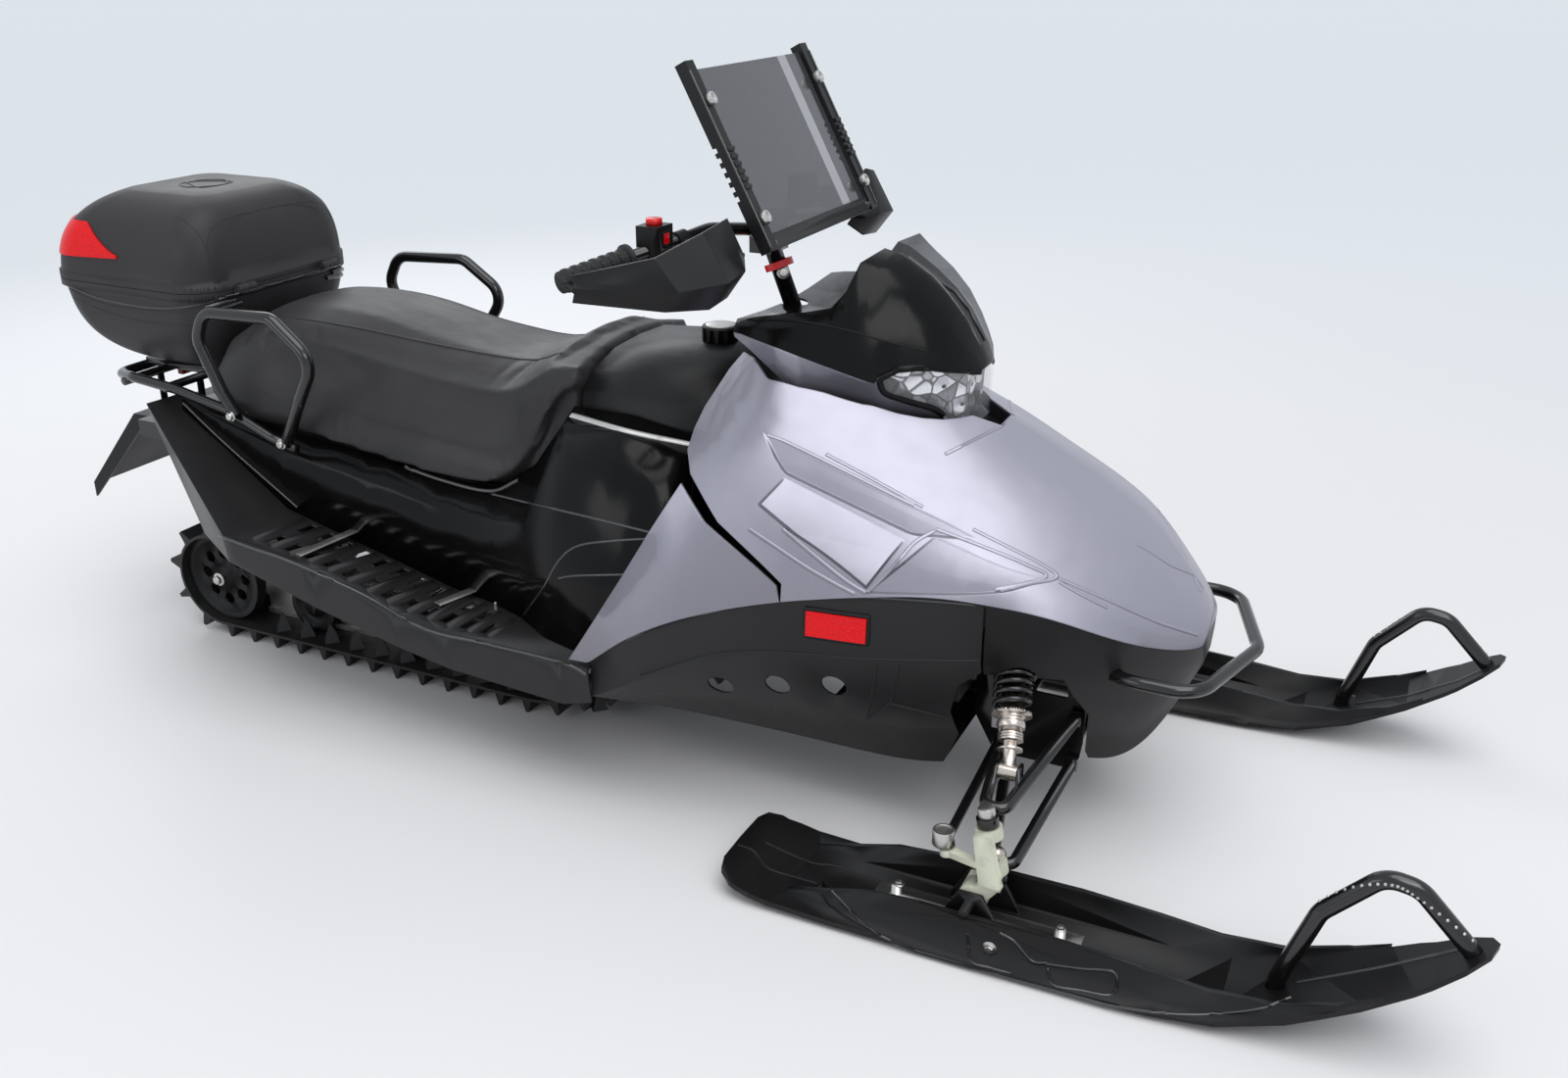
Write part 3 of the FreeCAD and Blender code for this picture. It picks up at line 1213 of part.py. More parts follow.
def make_pod():
    rows = pod_rows()
    outer = skin(rows, True)
    shell = outer.cut(inner_form(rows, POD_WALL, -OVERRUN, POD_WALL, True)).cut(column_room())
    save("screen_fairing", [shell.common(pod_slab(FAIRING_SEAM_SHARES, True, PANEL_SEAM))])
    cowl = shell.common(pod_slab(FAIRING_SEAM_SHARES, False, 0)).cut(lens_slab(0))
    save("lamp_cowl", [cowl])
    glass = outer.cut(inner_form(rows, LENS_WALL, -OVERRUN, LENS_WALL, True)).common(lens_slab(PANEL_SEAM))
    save("headlamp_lens", [glass])
    mount_x = LENS_REAR_X - LAMP_MOUNT
    near = [row for row in rows if row[0] > mount_x - LAMP_MOUNT]
    seat = inner_form(near, POD_WALL + SEAT_FIT, 0, POD_WALL, True)
    mount = seat.common(box(mount_x, LENS_REAR_X, -WORLD, WORLD, 0, WORLD))
    deep = [row for row in rows if mount_x < row[0] < rows[-1][0] - REFLECTOR_BOWL_GAP]
    bowl = inner_form(deep, REFLECTOR_BOWL_GAP, 0, 0, True)
    bowl = bowl.common(box(LENS_REAR_X - PANEL_SEAM, WORLD, -WORLD, WORLD, 0, WORLD))
    housing = united([mount, bowl]).common(pod_slab(FAIRING_SEAM_SHARES, False, REFLECTOR_BOWL_GAP))
    save("headlamp_housing", [housing])


# Engine block on its cradle, and the front frame that carries the arms, dampers and bumper.
def make_engine():
    z = ENGINE_BOTTOM_Z
    x = ENGINE_REAR_X
    block = box(x, x + ENGINE_LENGTH, -ENGINE_HALF_WIDTH, ENGINE_HALF_WIDTH, z, z + ENGINE_HEIGHT)
    save("engine_block", [block])


def tie_centre():
    return spindle_point(-STEER_ARM_LENGTH, 0,
                         STEER_ARM_W + STEER_ARM_THICK + TIE_LIFT + TIE_END_HEIGHT / 2.0)


def make_front_frame():
    outline = places(FRAME_PLATE_SHARES, FRAME_REAR_X, FRAME_LENGTH, FRAME_HEIGHT, FRAME_BOTTOM_Z)
    window = places(FRAME_WINDOW_SHARES, FRAME_REAR_X, FRAME_LENGTH, FRAME_HEIGHT, FRAME_BOTTOM_Z)
    lightening = places(FRAME_LIGHTENING_SHARES, FRAME_REAR_X, FRAME_LENGTH, FRAME_HEIGHT, FRAME_BOTTOM_Z)
    outer = FRAME_HALF_WIDTH + FRAME_PLATE
    plates = []
    for y_low, y_high in ((FRAME_HALF_WIDTH, outer), (-outer, -FRAME_HALF_WIDTH)):
        plate = plate_xz(outline, y_low, y_high)
        plates.append(plate.cut([slab(window), slab(lightening)]))
    rails = []
    top = ENGINE_BOTTOM_Z - SEAT_FIT
    rear = TUNNEL_REAR_X + TUNNEL_LENGTH + SEAT_FIT
    for y in (-CRADLE_Y, CRADLE_Y):
        rails.append(box(rear, FRAME_REAR_X + CRADLE_WIDTH + CRADLE_WIDTH, y - CRADLE_WIDTH / 2.0,
                         y + CRADLE_WIDTH / 2.0, top - CRADLE_HEIGHT, top))
    low = FRAME_BOTTOM_Z + CRADLE_WIDTH
    high = FRAME_BOTTOM_Z + FRAME_HEIGHT - CRADLE_WIDTH
    x_rear = FRAME_REAR_X + CRADLE_WIDTH + CRADLE_WIDTH / 2.0
    x_front = FRAME_REAR_X + FRAME_LENGTH - CRADLE_WIDTH
    bars = [rod(at(x, -outer, z), at(x, outer, z), FRAME_TUBE_RADIUS)
            for x, z in ((x_front, low), (x_rear, top - CRADLE_HEIGHT / 2.0),
                         (x_front, BUMPER_Z - BUMPER_DROP))]
    pin_y = SHOCK_TOP_Y + SHOCK_EYE_RADIUS
    bars.append(rod(at(SHOCK_TOP_X, -pin_y, SHOCK_TOP_Z), at(SHOCK_TOP_X, pin_y, SHOCK_TOP_Z),
                    SHOCK_PIN_RADIUS))
    link = tie_centre()
    guide = rod(at(link.x, -TIE_GUIDE_HALF, TIE_CENTRE_Z), at(link.x, TIE_GUIDE_HALF, TIE_CENTRE_Z),
                TIE_ROD_RADIUS + TIE_GUIDE_WALL)
    stem = rod(at(link.x, 0, TIE_CENTRE_Z), at(x_rear, 0, top - CRADLE_HEIGHT / 2.0), TIE_ROD_RADIUS)
    bore = rod(at(link.x, -outer, TIE_CENTRE_Z), at(link.x, outer, TIE_CENTRE_Z), TIE_ROD_RADIUS + PIN_FIT)
    frame = united(plates + rails + bars + [guide, stem]).cut(bore)
    save("front_frame", [frame])


# Steering column bracket from the tunnel's front end to two bearings, with a foot for the pod.
def make_steering_bracket():
    shapes = []
    foot_z = TUNNEL_TOP_Z + SEAT_FIT
    foot_x = TUNNEL_REAR_X + TUNNEL_LENGTH - BEARING_HEIGHT
    outer = COLUMN_RADIUS + PIN_FIT + BEARING_WALL
    for distance in (-BEARING_DOWN, -BEARING_DOWN + BRACKET_RISE):
        shapes.append(rod(column_point(distance), column_point(distance + BEARING_HEIGHT), outer))
    for side in (-1.0, 1.0):
        base = at(foot_x, side * BRACKET_FOOT_Y, foot_z + BRACKET_TUBE_RADIUS)
        shapes.append(rod(base, column_point(-BEARING_DOWN + BEARING_HEIGHT / 2.0), BRACKET_TUBE_RADIUS))
        shapes.append(rod(base, column_point(-BEARING_DOWN + BRACKET_RISE + BEARING_HEIGHT / 2.0),
                          BRACKET_TUBE_RADIUS))
        shapes.append(box(foot_x - BEARING_HEIGHT, foot_x + BRACKET_TUBE_RADIUS,
                          base.y - BRACKET_TUBE_RADIUS,
                          base.y + BRACKET_TUBE_RADIUS, foot_z, base.z))
        rest = at(POD_REST_X, side * BRACKET_FOOT_Y, POD_REST_Z)
        shapes.append(rod(base, rest, BRACKET_TUBE_RADIUS))
    frame = united(shapes)
    frame = frame.cut(box(TUNNEL_REAR_X, WORLD, -WORLD, WORLD, 0, foot_z))
    frame = frame.cut(inner_form(pod_rows(), -SEAT_FIT, -OVERRUN, -OVERRUN, True))
    bore = rod(column_point(-COLUMN_DOWN - OVERRUN), column_point(COLUMN_UP), COLUMN_RADIUS + PIN_FIT)
    save("steering_bracket", [frame.cut(bore)])


# A place in the spindle's own frame: forward, outboard and up the leaning king pin from its foot.
def spindle_point(forward, outboard, up):
    lean = math.radians(KING_LEAN)
    x = KING_X + forward * math.cos(lean) - up * math.sin(lean)
    z = KING_Z + forward * math.sin(lean) + up * math.cos(lean)
    return at(x, SKI_Y + outboard, z)


def king_rod(low, high, radius):
    return rod(spindle_point(0, 0, low), spindle_point(0, 0, high), radius)


def leaned(shape):
    shape = shape.copy()
    shape.rotate(at(0, 0, 0), at(0, 1, 0), -KING_LEAN)
    shape.translate(spindle_point(0, 0, 0))
    return shape


# One suspension arm: a bent tube loop, two barrels on the frame, and an eye on the king pin.
def suspension_arm(inner_z, eye_low, pin_low, pin_high):
    inner_y = FRAME_HALF_WIDTH + FRAME_PLATE + ARM_BARREL_RADIUS + SEAT_FIT
    eye = spindle_point(0, 0, eye_low + EYE_HEIGHT / 2.0)
    rear_x = ARM_CENTRE_X - ARM_SPREAD
    front_x = ARM_CENTRE_X + ARM_SPREAD
    loop_z = eye.z + (inner_z - eye.z) * (SKI_Y - ARM_LOOP_Y) / (SKI_Y - inner_y)
    route = [at(rear_x, inner_y, inner_z), at(eye.x - ARM_LOOP_HALF, ARM_LOOP_Y, loop_z)]
    route += [at(eye.x + ARM_LOOP_HALF, ARM_LOOP_Y, loop_z), at(front_x, inner_y, inner_z)]
    shapes = [tube(route, ARM_BEND, ARM_TUBE_RADIUS)]
    shapes.append(rod(at(eye.x, ARM_LOOP_Y, loop_z), eye, ARM_TUBE_RADIUS * 0.5))
    shapes.append(king_rod(eye_low, eye_low + EYE_HEIGHT, EYE_RADIUS))
    shapes.append(king_rod(pin_low, pin_high, KING_PIN_RADIUS))
    half = ARM_BARREL_LENGTH / 2.0
    for x in (rear_x, front_x):
        shapes.append(rod(at(x - half, inner_y, inner_z), at(x + half, inner_y, inner_z),
                          ARM_BARREL_RADIUS))
    return shapes


def upper_eye_low():
    return SPINDLE_UPPER_W + SPINDLE_HUB_HEIGHT + HUB_GAP


def shock_low():
    eye = spindle_point(0, 0, upper_eye_low() + EYE_HEIGHT / 2.0)
    inner_y = FRAME_HALF_WIDTH + FRAME_PLATE + ARM_BARREL_RADIUS + SEAT_FIT
    share = (SKI_Y - SHOCK_LOW_Y) / (SKI_Y - inner_y)
    return at(eye.x, SHOCK_LOW_Y, eye.z + (UPPER_ARM_INNER_Z - eye.z) * share + SHOCK_LIFT)


def shock_top():
    return at(SHOCK_TOP_X, SHOCK_TOP_Y, SHOCK_TOP_Z)


def shock_part(low_share, high_share, radius):
    run = shock_top() - shock_low()
    return rod(shock_low() + run * low_share, shock_low() + run * high_share, radius)


def make_upper_arms():
    low = upper_eye_low()
    pin_low = SPINDLE_UPPER_W
    shapes = suspension_arm(UPPER_ARM_INNER_Z, low, pin_low, low + EYE_HEIGHT)
    foot = shock_low()
    pin = rod(at(foot.x - SHOCK_PIN_HALF, foot.y, foot.z), at(foot.x + SHOCK_PIN_HALF, foot.y, foot.z),
              SHOCK_PIN_RADIUS)
    ears = []
    for side in (-1.0, 1.0):
        x = foot.x + side * (SHOCK_PIN_HALF - SHOCK_EAR / 2.0)
        ears.append(box(x - SHOCK_EAR / 2.0, x + SHOCK_EAR / 2.0, foot.y - SHOCK_EYE_RADIUS,
                        foot.y + SHOCK_EYE_RADIUS, foot.z - SHOCK_LIFT - ARM_TUBE_RADIUS / 2.0,
                        foot.z + SHOCK_EYE_RADIUS))
    save("upper_arms", both_sides([united(shapes + [pin] + ears)]))


def make_lower_arms():
    low = -HUB_GAP - EYE_HEIGHT
    shapes = suspension_arm(LOWER_ARM_INNER_Z, low, low, SPINDLE_HUB_HEIGHT)
    save("lower_arms", both_sides([united(shapes)]))


def eye_along_x(centre, half_length, radius):
    return rod(at(centre.x - half_length, centre.y, centre.z),
               at(centre.x + half_length, centre.y, centre.z),
               radius)


def make_dampers():
    low = shock_low()
    half = SHOCK_PIN_HALF - SHOCK_EAR - SEAT_FIT
    shapes = [eye_along_x(low, half, SHOCK_EYE_RADIUS)]
    top = shock_top()
    shapes.append(rod(at(top.x, top.y - SHOCK_EYE_RADIUS, top.z),
                      at(top.x, top.y + SHOCK_EYE_RADIUS, top.z),
                      SHOCK_EYE_RADIUS))
    shapes.append(shock_part(0.0, SPRING_LOW_SHARE, SHOCK_BODY_RADIUS * 0.55))
    shapes.append(shock_part(SHOCK_NECK_SHARE, SPRING_MIDDLE_SHARE, SHOCK_BODY_RADIUS))
    shapes.append(shock_part(SPRING_MIDDLE_SHARE, 1.0, SHOCK_ROD_RADIUS))
    cup = SHOCK_CUP_HEIGHT / (top - low).Length
    shapes.append(shock_part(SPRING_LOW_SHARE - cup, SPRING_LOW_SHARE, SHOCK_CUP_RADIUS))
    shapes.append(shock_part(SPRING_TOP_SHARE, SPRING_TOP_SHARE + cup, SHOCK_CUP_RADIUS))
    bore_low = eye_along_x(low, SHOCK_PIN_HALF, SHOCK_PIN_RADIUS + SEAT_FIT)
    bore_top = rod(at(top.x, 0, top.z), at(top.x, top.y + OVERRUN, top.z), SHOCK_PIN_RADIUS + SEAT_FIT)
    save("dampers", both_sides([united(shapes).cut([bore_low, bore_top])]))


def make_springs():
    low = shock_low()
    run = shock_top() - low
    height = (SPRING_TOP_SHARE - SPRING_LOW_SHARE) * run.Length
    height -= 2.0 * (SPRING_WIRE_RADIUS + SPRING_END_FIT)
    helix = Part.makeHelix(height / SPRING_TURNS, height, SPRING_RADIUS)
    corners = []
    for index in range(SPRING_WIRE_SIDES + 1):
        turn = 2.0 * math.pi * (index + 0.5) / SPRING_WIRE_SIDES
        corners.append(at(SPRING_RADIUS + SPRING_WIRE_RADIUS * math.cos(turn), 0,
                          SPRING_WIRE_RADIUS * math.sin(turn)))
    wire = Part.makePolygon(corners)
    spring = Part.Wire(helix.Edges).makePipeShell([wire], True, True)
    run_way = FreeCAD.Vector(run)
    run_way.normalize()
    turn = FreeCAD.Rotation(at(0, 0, 1), run_way)
    start = low + run * SPRING_LOW_SHARE + run_way * (SPRING_WIRE_RADIUS + SPRING_END_FIT)
    spring.Placement = FreeCAD.Placement(start, turn)
    save("springs", both_sides([spring]))


# Tie rods: one bar across, free to slide in the frame's guide, with an end over each steering arm.
def make_tie_rods():
    end = tie_centre()
    inner = at(end.x, TIE_CENTRE_HALF, TIE_CENTRE_Z)
    shapes = [rod(at(end.x, 0, TIE_CENTRE_Z), inner, TIE_ROD_RADIUS), rod(inner, end, TIE_ROD_RADIUS)]
    shapes.append(Part.makeSphere(TIE_ROD_RADIUS, inner))
    low = STEER_ARM_W + STEER_ARM_THICK + TIE_LIFT
    shapes.append(rod(spindle_point(-STEER_ARM_LENGTH, 0, low),
                      spindle_point(-STEER_ARM_LENGTH, 0, low + TIE_END_HEIGHT), STEER_BALL_RADIUS))
    half = united(shapes)
    save("tie_rods", [united([half, mirrored(half)])])


def spindle_block(u_low, u_high, v_low, v_high, w_low, w_high):
    return leaned(box(u_low, u_high, v_low, v_high, w_low, w_high))


# Spindle: an outboard web joins the two king pin hubs, the steering arm and the ski's foot.
def make_spindle():
    inner = EYE_RADIUS + SPINDLE_WEB_GAP
    outer = inner + SPINDLE_WEB
    top = SPINDLE_UPPER_W + SPINDLE_HUB_HEIGHT
    half = SPINDLE_HUB_RADIUS * 0.8
    foot = at(SKI_BOLT_X, SKI_Y, SKI_BOLT_Z)
    web = plate_xz([(-half, -EYE_HEIGHT), (half, -EYE_HEIGHT), (half * 0.8, top),
                    (-half * 0.8, top)], inner, outer)
    shapes = [leaned(web)]
    shapes.append(king_rod(0, SPINDLE_HUB_HEIGHT, SPINDLE_HUB_RADIUS))
    shapes.append(king_rod(SPINDLE_UPPER_W, top, SPINDLE_HUB_RADIUS))
    shapes.append(spindle_block(-half, half, 0, inner + SPINDLE_RIB, 0, SPINDLE_HUB_HEIGHT))
    shapes.append(spindle_block(-half * 0.8, half * 0.8, 0, inner + SPINDLE_RIB, SPINDLE_UPPER_W, top))
    shapes.append(rod(at(foot.x, SKI_Y - outer, foot.z), at(foot.x, SKI_Y + outer, foot.z),
                      SPINDLE_FOOT_RADIUS))
    leg_low = spindle_point(0, 0, -EYE_HEIGHT)
    foot_half = SPINDLE_FOOT_RADIUS * 0.85
    leg = plate_xz([(leg_low.x - half, leg_low.z + half * 0.5), (foot.x - foot_half, foot.z),
                    (foot.x + foot_half, foot.z), (leg_low.x + half, leg_low.z + half * 0.5)],
                   SKI_Y + inner, SKI_Y + outer)
    shapes.append(leg)
    arm_top = STEER_ARM_W + STEER_ARM_THICK
    arm = plate_xy([(half * 0.6, outer), (half * 0.6, inner), (-half, inner),
                    (-STEER_ARM_LENGTH, -STEER_BALL_RADIUS * 0.7),
                    (-STEER_ARM_LENGTH, STEER_BALL_RADIUS * 0.7),
                    (-half, outer)], STEER_ARM_W, arm_top)
    shapes.append(leaned(arm))
    shapes.append(rod(spindle_point(-STEER_ARM_LENGTH, 0, STEER_ARM_W),
                      spindle_point(-STEER_ARM_LENGTH, 0, arm_top), STEER_BALL_RADIUS))
    spindle = united(shapes)
    bores = [king_rod(-OVERRUN, top + OVERRUN, KING_PIN_RADIUS + PIN_FIT)]
    bores.append(rod(at(foot.x, 0, foot.z), at(foot.x, WORLD, foot.z), SKI_BOLT_RADIUS + PIN_FIT))
    eye_room = king_rod(-HUB_GAP - EYE_HEIGHT - PART_GAP, 0, EYE_RADIUS + SPINDLE_WEB_GAP / 2.0)
    arm_room = spindle_block(-STEER_ARM_LENGTH, STEER_ARM_LENGTH, -STEER_ARM_LENGTH, 0,
                             -HUB_GAP - EYE_HEIGHT - PART_GAP, -SEAT_FIT)
    spindle = spindle.cut(bores + [eye_room, arm_room])
    save("spindle_left", [spindle])
    save("spindle_right", [mirrored(spindle)])


# Ski: a curved floor with a keel, side walls, a saddle and its bolt.
def ski_line():
    return places(SKI_LINE_SHARES, SKI_REAR_X, SKI_LENGTH, SKI_TIP_Z)


def ski_floor_z(x):
    line = ski_line()
    for (x_low, z_low), (x_high, z_high) in zip(line, line[1:]):
        if x_low <= x <= x_high:
            return z_low + (z_high - z_low) * (x - x_low) / (x_high - x_low)
    return line[-1][1]


def ski_strip(low_shift, high_shift):
    line = ski_line()
    spline_low = [(x, z + low_shift) for x, z in line]
    spline_high = [(x, z + high_shift) for x, z in reversed(line)]
    return spline_low + spline_high


def make_ski():
    plan = places(SKI_PLAN_SHARES, SKI_REAR_X, SKI_LENGTH, SKI_HALF_WIDTH)
    outline = [(x, SKI_Y + y) for x, y in plan] + [(x, SKI_Y - y) for x, y in reversed(plan) if y > 0]
    column = plate_xy(outline, -OVERRUN, WORLD)
    floor = plate_xz(ski_strip(0, SKI_FLOOR), 0, WORLD).common(column)
    wall_tops = places(SKI_WALL_SHARES, SKI_REAR_X, SKI_LENGTH, SKI_WALL_HEIGHT)
    wall_line = [(x, ski_floor_z(x) + SKI_FLOOR + height) for x, height in wall_tops]
    wall_foot = [(x, ski_floor_z(x) + SKI_FLOOR / 2.0) for x, height in reversed(wall_tops)]
    shapes = [floor]
    for side in (-1.0, 1.0):
        y = SKI_Y + side * SKI_WALL_Y
        shapes.append(plate_xz(wall_line + wall_foot, y - SKI_WALL / 2.0,
                               y + SKI_WALL / 2.0).common(column))
    keel = [(x, z) for x, z in ski_line() if x < SKI_BOLT_X + SKI_LENGTH / 2.0]
    keel_profile = [(x, z + SKI_FLOOR / 2.0) for x, z in keel]
    keel_profile += [(x, z - KEEL_HEIGHT) for x, z in reversed(keel)]
    shapes.append(plate_xz(keel_profile, SKI_Y - KEEL_HALF, SKI_Y + KEEL_HALF))
    inner = EYE_RADIUS + SPINDLE_WEB_GAP + SPINDLE_WEB + SADDLE_GAP
    floor_z = ski_floor_z(SKI_BOLT_X) + SKI_FLOOR / 2.0
    top = SKI_BOLT_Z + SPINDLE_FOOT_RADIUS * 0.7
    saddle = [(SKI_BOLT_X - SADDLE_HALF_LENGTH, floor_z), (SKI_BOLT_X + SADDLE_HALF_LENGTH, floor_z)]
    saddle += [(SKI_BOLT_X + SPINDLE_FOOT_RADIUS * 0.8, top),
               (SKI_BOLT_X - SPINDLE_FOOT_RADIUS * 0.8, top)]
    for side in (-1.0, 1.0):
        near = SKI_Y + side * inner
        far = near + side * SADDLE_WALL
        shapes.append(plate_xz(saddle, min(near, far), max(near, far)))
    reach = SKI_WALL_Y + SKI_WALL
    bolt = rod(at(SKI_BOLT_X, SKI_Y - reach, SKI_BOLT_Z), at(SKI_BOLT_X, SKI_Y + reach, SKI_BOLT_Z),
               SKI_BOLT_RADIUS)
    shapes.append(bolt)
    ski = united(shapes)
    save("ski_left", [ski])
    save("ski_right", [mirrored(ski)])


def make_ski_leaf():
    half = LEAF_LENGTH / 2.0
    low = ski_floor_z(SKI_BOLT_X) + SKI_FLOOR + SEAT_FIT
    leaf = box(SKI_BOLT_X - half, SKI_BOLT_X + half, SKI_Y - LEAF_HALF_WIDTH, SKI_Y + LEAF_HALF_WIDTH, low,
               low + LEAF_THICK)
    bolts = [rod(at(SKI_BOLT_X + side * half * 0.8, SKI_Y, low), at(SKI_BOLT_X + side * half * 0.8, SKI_Y,
                 low + LEAF_BOLT_HEIGHT), LEAF_BOLT_RADIUS) for side in (-1.0, 1.0)]
    plate = united([leaf] + bolts)
    save("ski_plate_left", [plate])
    save("ski_plate_right", [mirrored(plate)])


def make_ski_loop():
    route = places(LOOP_ROUTE_SHARES, SKI_REAR_X, SKI_LENGTH, SKI_TIP_Z)
    loop = tube([at(x, SKI_Y, z) for x, z in route], LOOP_BEND, LOOP_TUBE_RADIUS)
    loop = loop.cut(plate_xz(ski_strip(-OVERRUN - OVERRUN, SKI_FLOOR + SEAT_FIT), 0, WORLD))
    loop = max(loop.Solids, key=lambda solid: solid.Volume)
    save("ski_loop_left", [loop])
    save("ski_loop_right", [mirrored(loop)])


# Rack, grab handles, snow flap and tail lamp
def rack_route():
    route = []
    for x, y, z in RACK_ROUTE_SHARES:
        route.append(at(RACK_REAR_X + x * RACK_SPAN, y * RACK_HALF_WIDTH, z * RACK_HEIGHT))
    return route


def rack_tubes():
    half = rack_route()
    other = [at(point.x, -point.y, point.z) for point in half[1:]]
    return tube(other[::-1] + half[1:], RACK_BEND, RACK_TUBE_RADIUS)


def make_rear_rack():
    route = rack_route()
    cross_z = route[0].z
    foot = TUNNEL_TOP_Z + SEAT_FIT
    shapes = [rack_tubes()]
    for x in (RACK_REAR_X + RACK_CROSS_REAR, RACK_REAR_X + RACK_CROSS_FRONT):
        shapes.append(rod(at(x, -RACK_HALF_WIDTH, cross_z), at(x, RACK_HALF_WIDTH, cross_z),
                          RACK_CROSS_RADIUS))
        for y in (-RACK_POST_Y, RACK_POST_Y):
            shapes.append(rod(at(x, y, foot), at(x, y, cross_z), RACK_POST_RADIUS))
    case_foot = CASE_RIM_Z - CASE_TUB_HEIGHT - SEAT_FIT
    shapes.append(box(RACK_REAR_X, RACK_REAR_X + RACK_CROSS_FRONT + RACK_TUBE_RADIUS, -RACK_PLATE_HALF,
                      RACK_PLATE_HALF, cross_z, case_foot))
    save("rear_rack", [united(shapes)])


def make_grab_handles():
    route = []
    for x, y, z in HANDLE_ROUTE_SHARES:
        route.append(at(HANDLE_REAR_X + x * HANDLE_SPAN, y * HANDLE_HALF_WIDTH, z * HANDLE_HEIGHT))
    handle = tube(route, HANDLE_BEND, HANDLE_TUBE_RADIUS)
    pieces = both_sides([handle])
    rack = rack_tubes()
    save("grab_handles", [max(piece.cut(rack).Solids, key=lambda solid: solid.Volume) for piece in pieces])


def make_snow_flap():
    top = at(TUNNEL_REAR_X - SEAT_FIT, 0, TUNNEL_TOP_Z)
    profile = [(top.x, top.z), (top.x - FLAP_LENGTH * 0.2, top.z),
               (top.x - FLAP_LENGTH, top.z - FLAP_DROP)]
    profile += [(top.x - FLAP_LENGTH, top.z - FLAP_DROP - FLAP_WALL),
                (top.x - FLAP_LENGTH * 0.2, top.z - FLAP_WALL)]
    profile.append((top.x, top.z - FLAP_WALL))
    flap = plate_xz(profile, -FLAP_HALF_WIDTH, FLAP_HALF_WIDTH)
    rim = [profile[0], profile[1], profile[2], (top.x - FLAP_LENGTH, top.z - FLAP_DROP - FLAP_RIM)]
    rim += [(top.x - FLAP_LENGTH * 0.15, top.z - FLAP_RIM), (top.x, top.z - FLAP_RIM)]
    shapes = [flap]
    for y in (-FLAP_HALF_WIDTH, FLAP_HALF_WIDTH - FLAP_WALL):
        shapes.append(plate_xz(rim, y, y + FLAP_WALL))
    save("snow_flap", [united(shapes)])


def make_tail_lamp():
    top = rack_route()[0].z - RACK_TUBE_RADIUS - SEAT_FIT
    x = RACK_REAR_X
    half = TAIL_LAMP_THICK / 2.0
    lamp = box(x - half, x + half, -TAIL_LAMP_HALF, TAIL_LAMP_HALF, top - TAIL_LAMP_HEIGHT, top)
    edges = [edge for edge in lamp.Edges if edge.BoundBox.XMax < x and edge.BoundBox.ZLength > half]
    save("tail_lamp", [lamp.makeFillet(half * 0.9, edges)])


# Top case: rounded rectangles lofted from the floor to the rim, and from the rim to the dome.
def case_ring(x_middle, z, length, width, corner):
    half_x = length / 2.0
    half_y = width / 2.0
    edges = []
    reach = corner * (1.0 - math.sqrt(0.5))
    corners = [(1.0, 1.0), (-1.0, 1.0), (-1.0, -1.0), (1.0, -1.0)]
    starts = []
    for sx, sy in corners:
        along_x = at(x_middle + sx * (half_x - corner), sy * half_y, z)
        along_y = at(x_middle + sx * half_x, sy * (half_y - corner), z)
        middle = at(x_middle + sx * (half_x - reach), sy * (half_y - reach), z)
        first, last = (along_y, along_x) if sx * sy > 0 else (along_x, along_y)
        starts.append((first, middle, last))
    for index, (first, middle, last) in enumerate(starts):
        edges.append(Part.Arc(first, middle, last).toShape())
        edges.append(Part.LineSegment(last, starts[(index + 1) % 4][0]).toShape())
    return Part.Wire(edges)


def case_form(levels, foot_z, height, wall, low_shift, high_shift):
    middle = CASE_FRONT_X - CASE_LENGTH / 2.0
    wires = []
    for index, (rise, length_share, width_share, shift) in enumerate(levels):
        length = CASE_LENGTH * length_share - 2.0 * wall
        width = 2.0 * CASE_HALF_WIDTH * width_share - 2.0 * wall
        corner = CASE_CORNER * min(length_share, width_share) - wall
        z = foot_z + rise * height
        if index == 0:
            z += low_shift
        if index == len(levels) - 1:
            z -= high_shift
        wires.append(case_ring(middle + shift * CASE_LENGTH, z, length, width, corner))
    return Part.makeLoft(wires, True, False)


def rim_band(z_low, z_high, grow):
    middle = CASE_FRONT_X - CASE_LENGTH / 2.0
    length = CASE_LENGTH + 2.0 * grow
    width = 2.0 * CASE_HALF_WIDTH + 2.0 * grow
    wire = case_ring(middle, z_low, length, width, CASE_CORNER + grow)
    return Part.Face(wire).extrude(at(0, 0, z_high - z_low))


def hinge_axis():
    return at(CASE_FRONT_X + HINGE_BARREL_RADIUS, 0, CASE_RIM_Z + CASE_LID_GAP / 2.0)


def hinge_barrel(y, length, radius):
    axis = hinge_axis()
    return rod(at(axis.x, y - length / 2.0, axis.z), at(axis.x, y + length / 2.0, axis.z), radius)


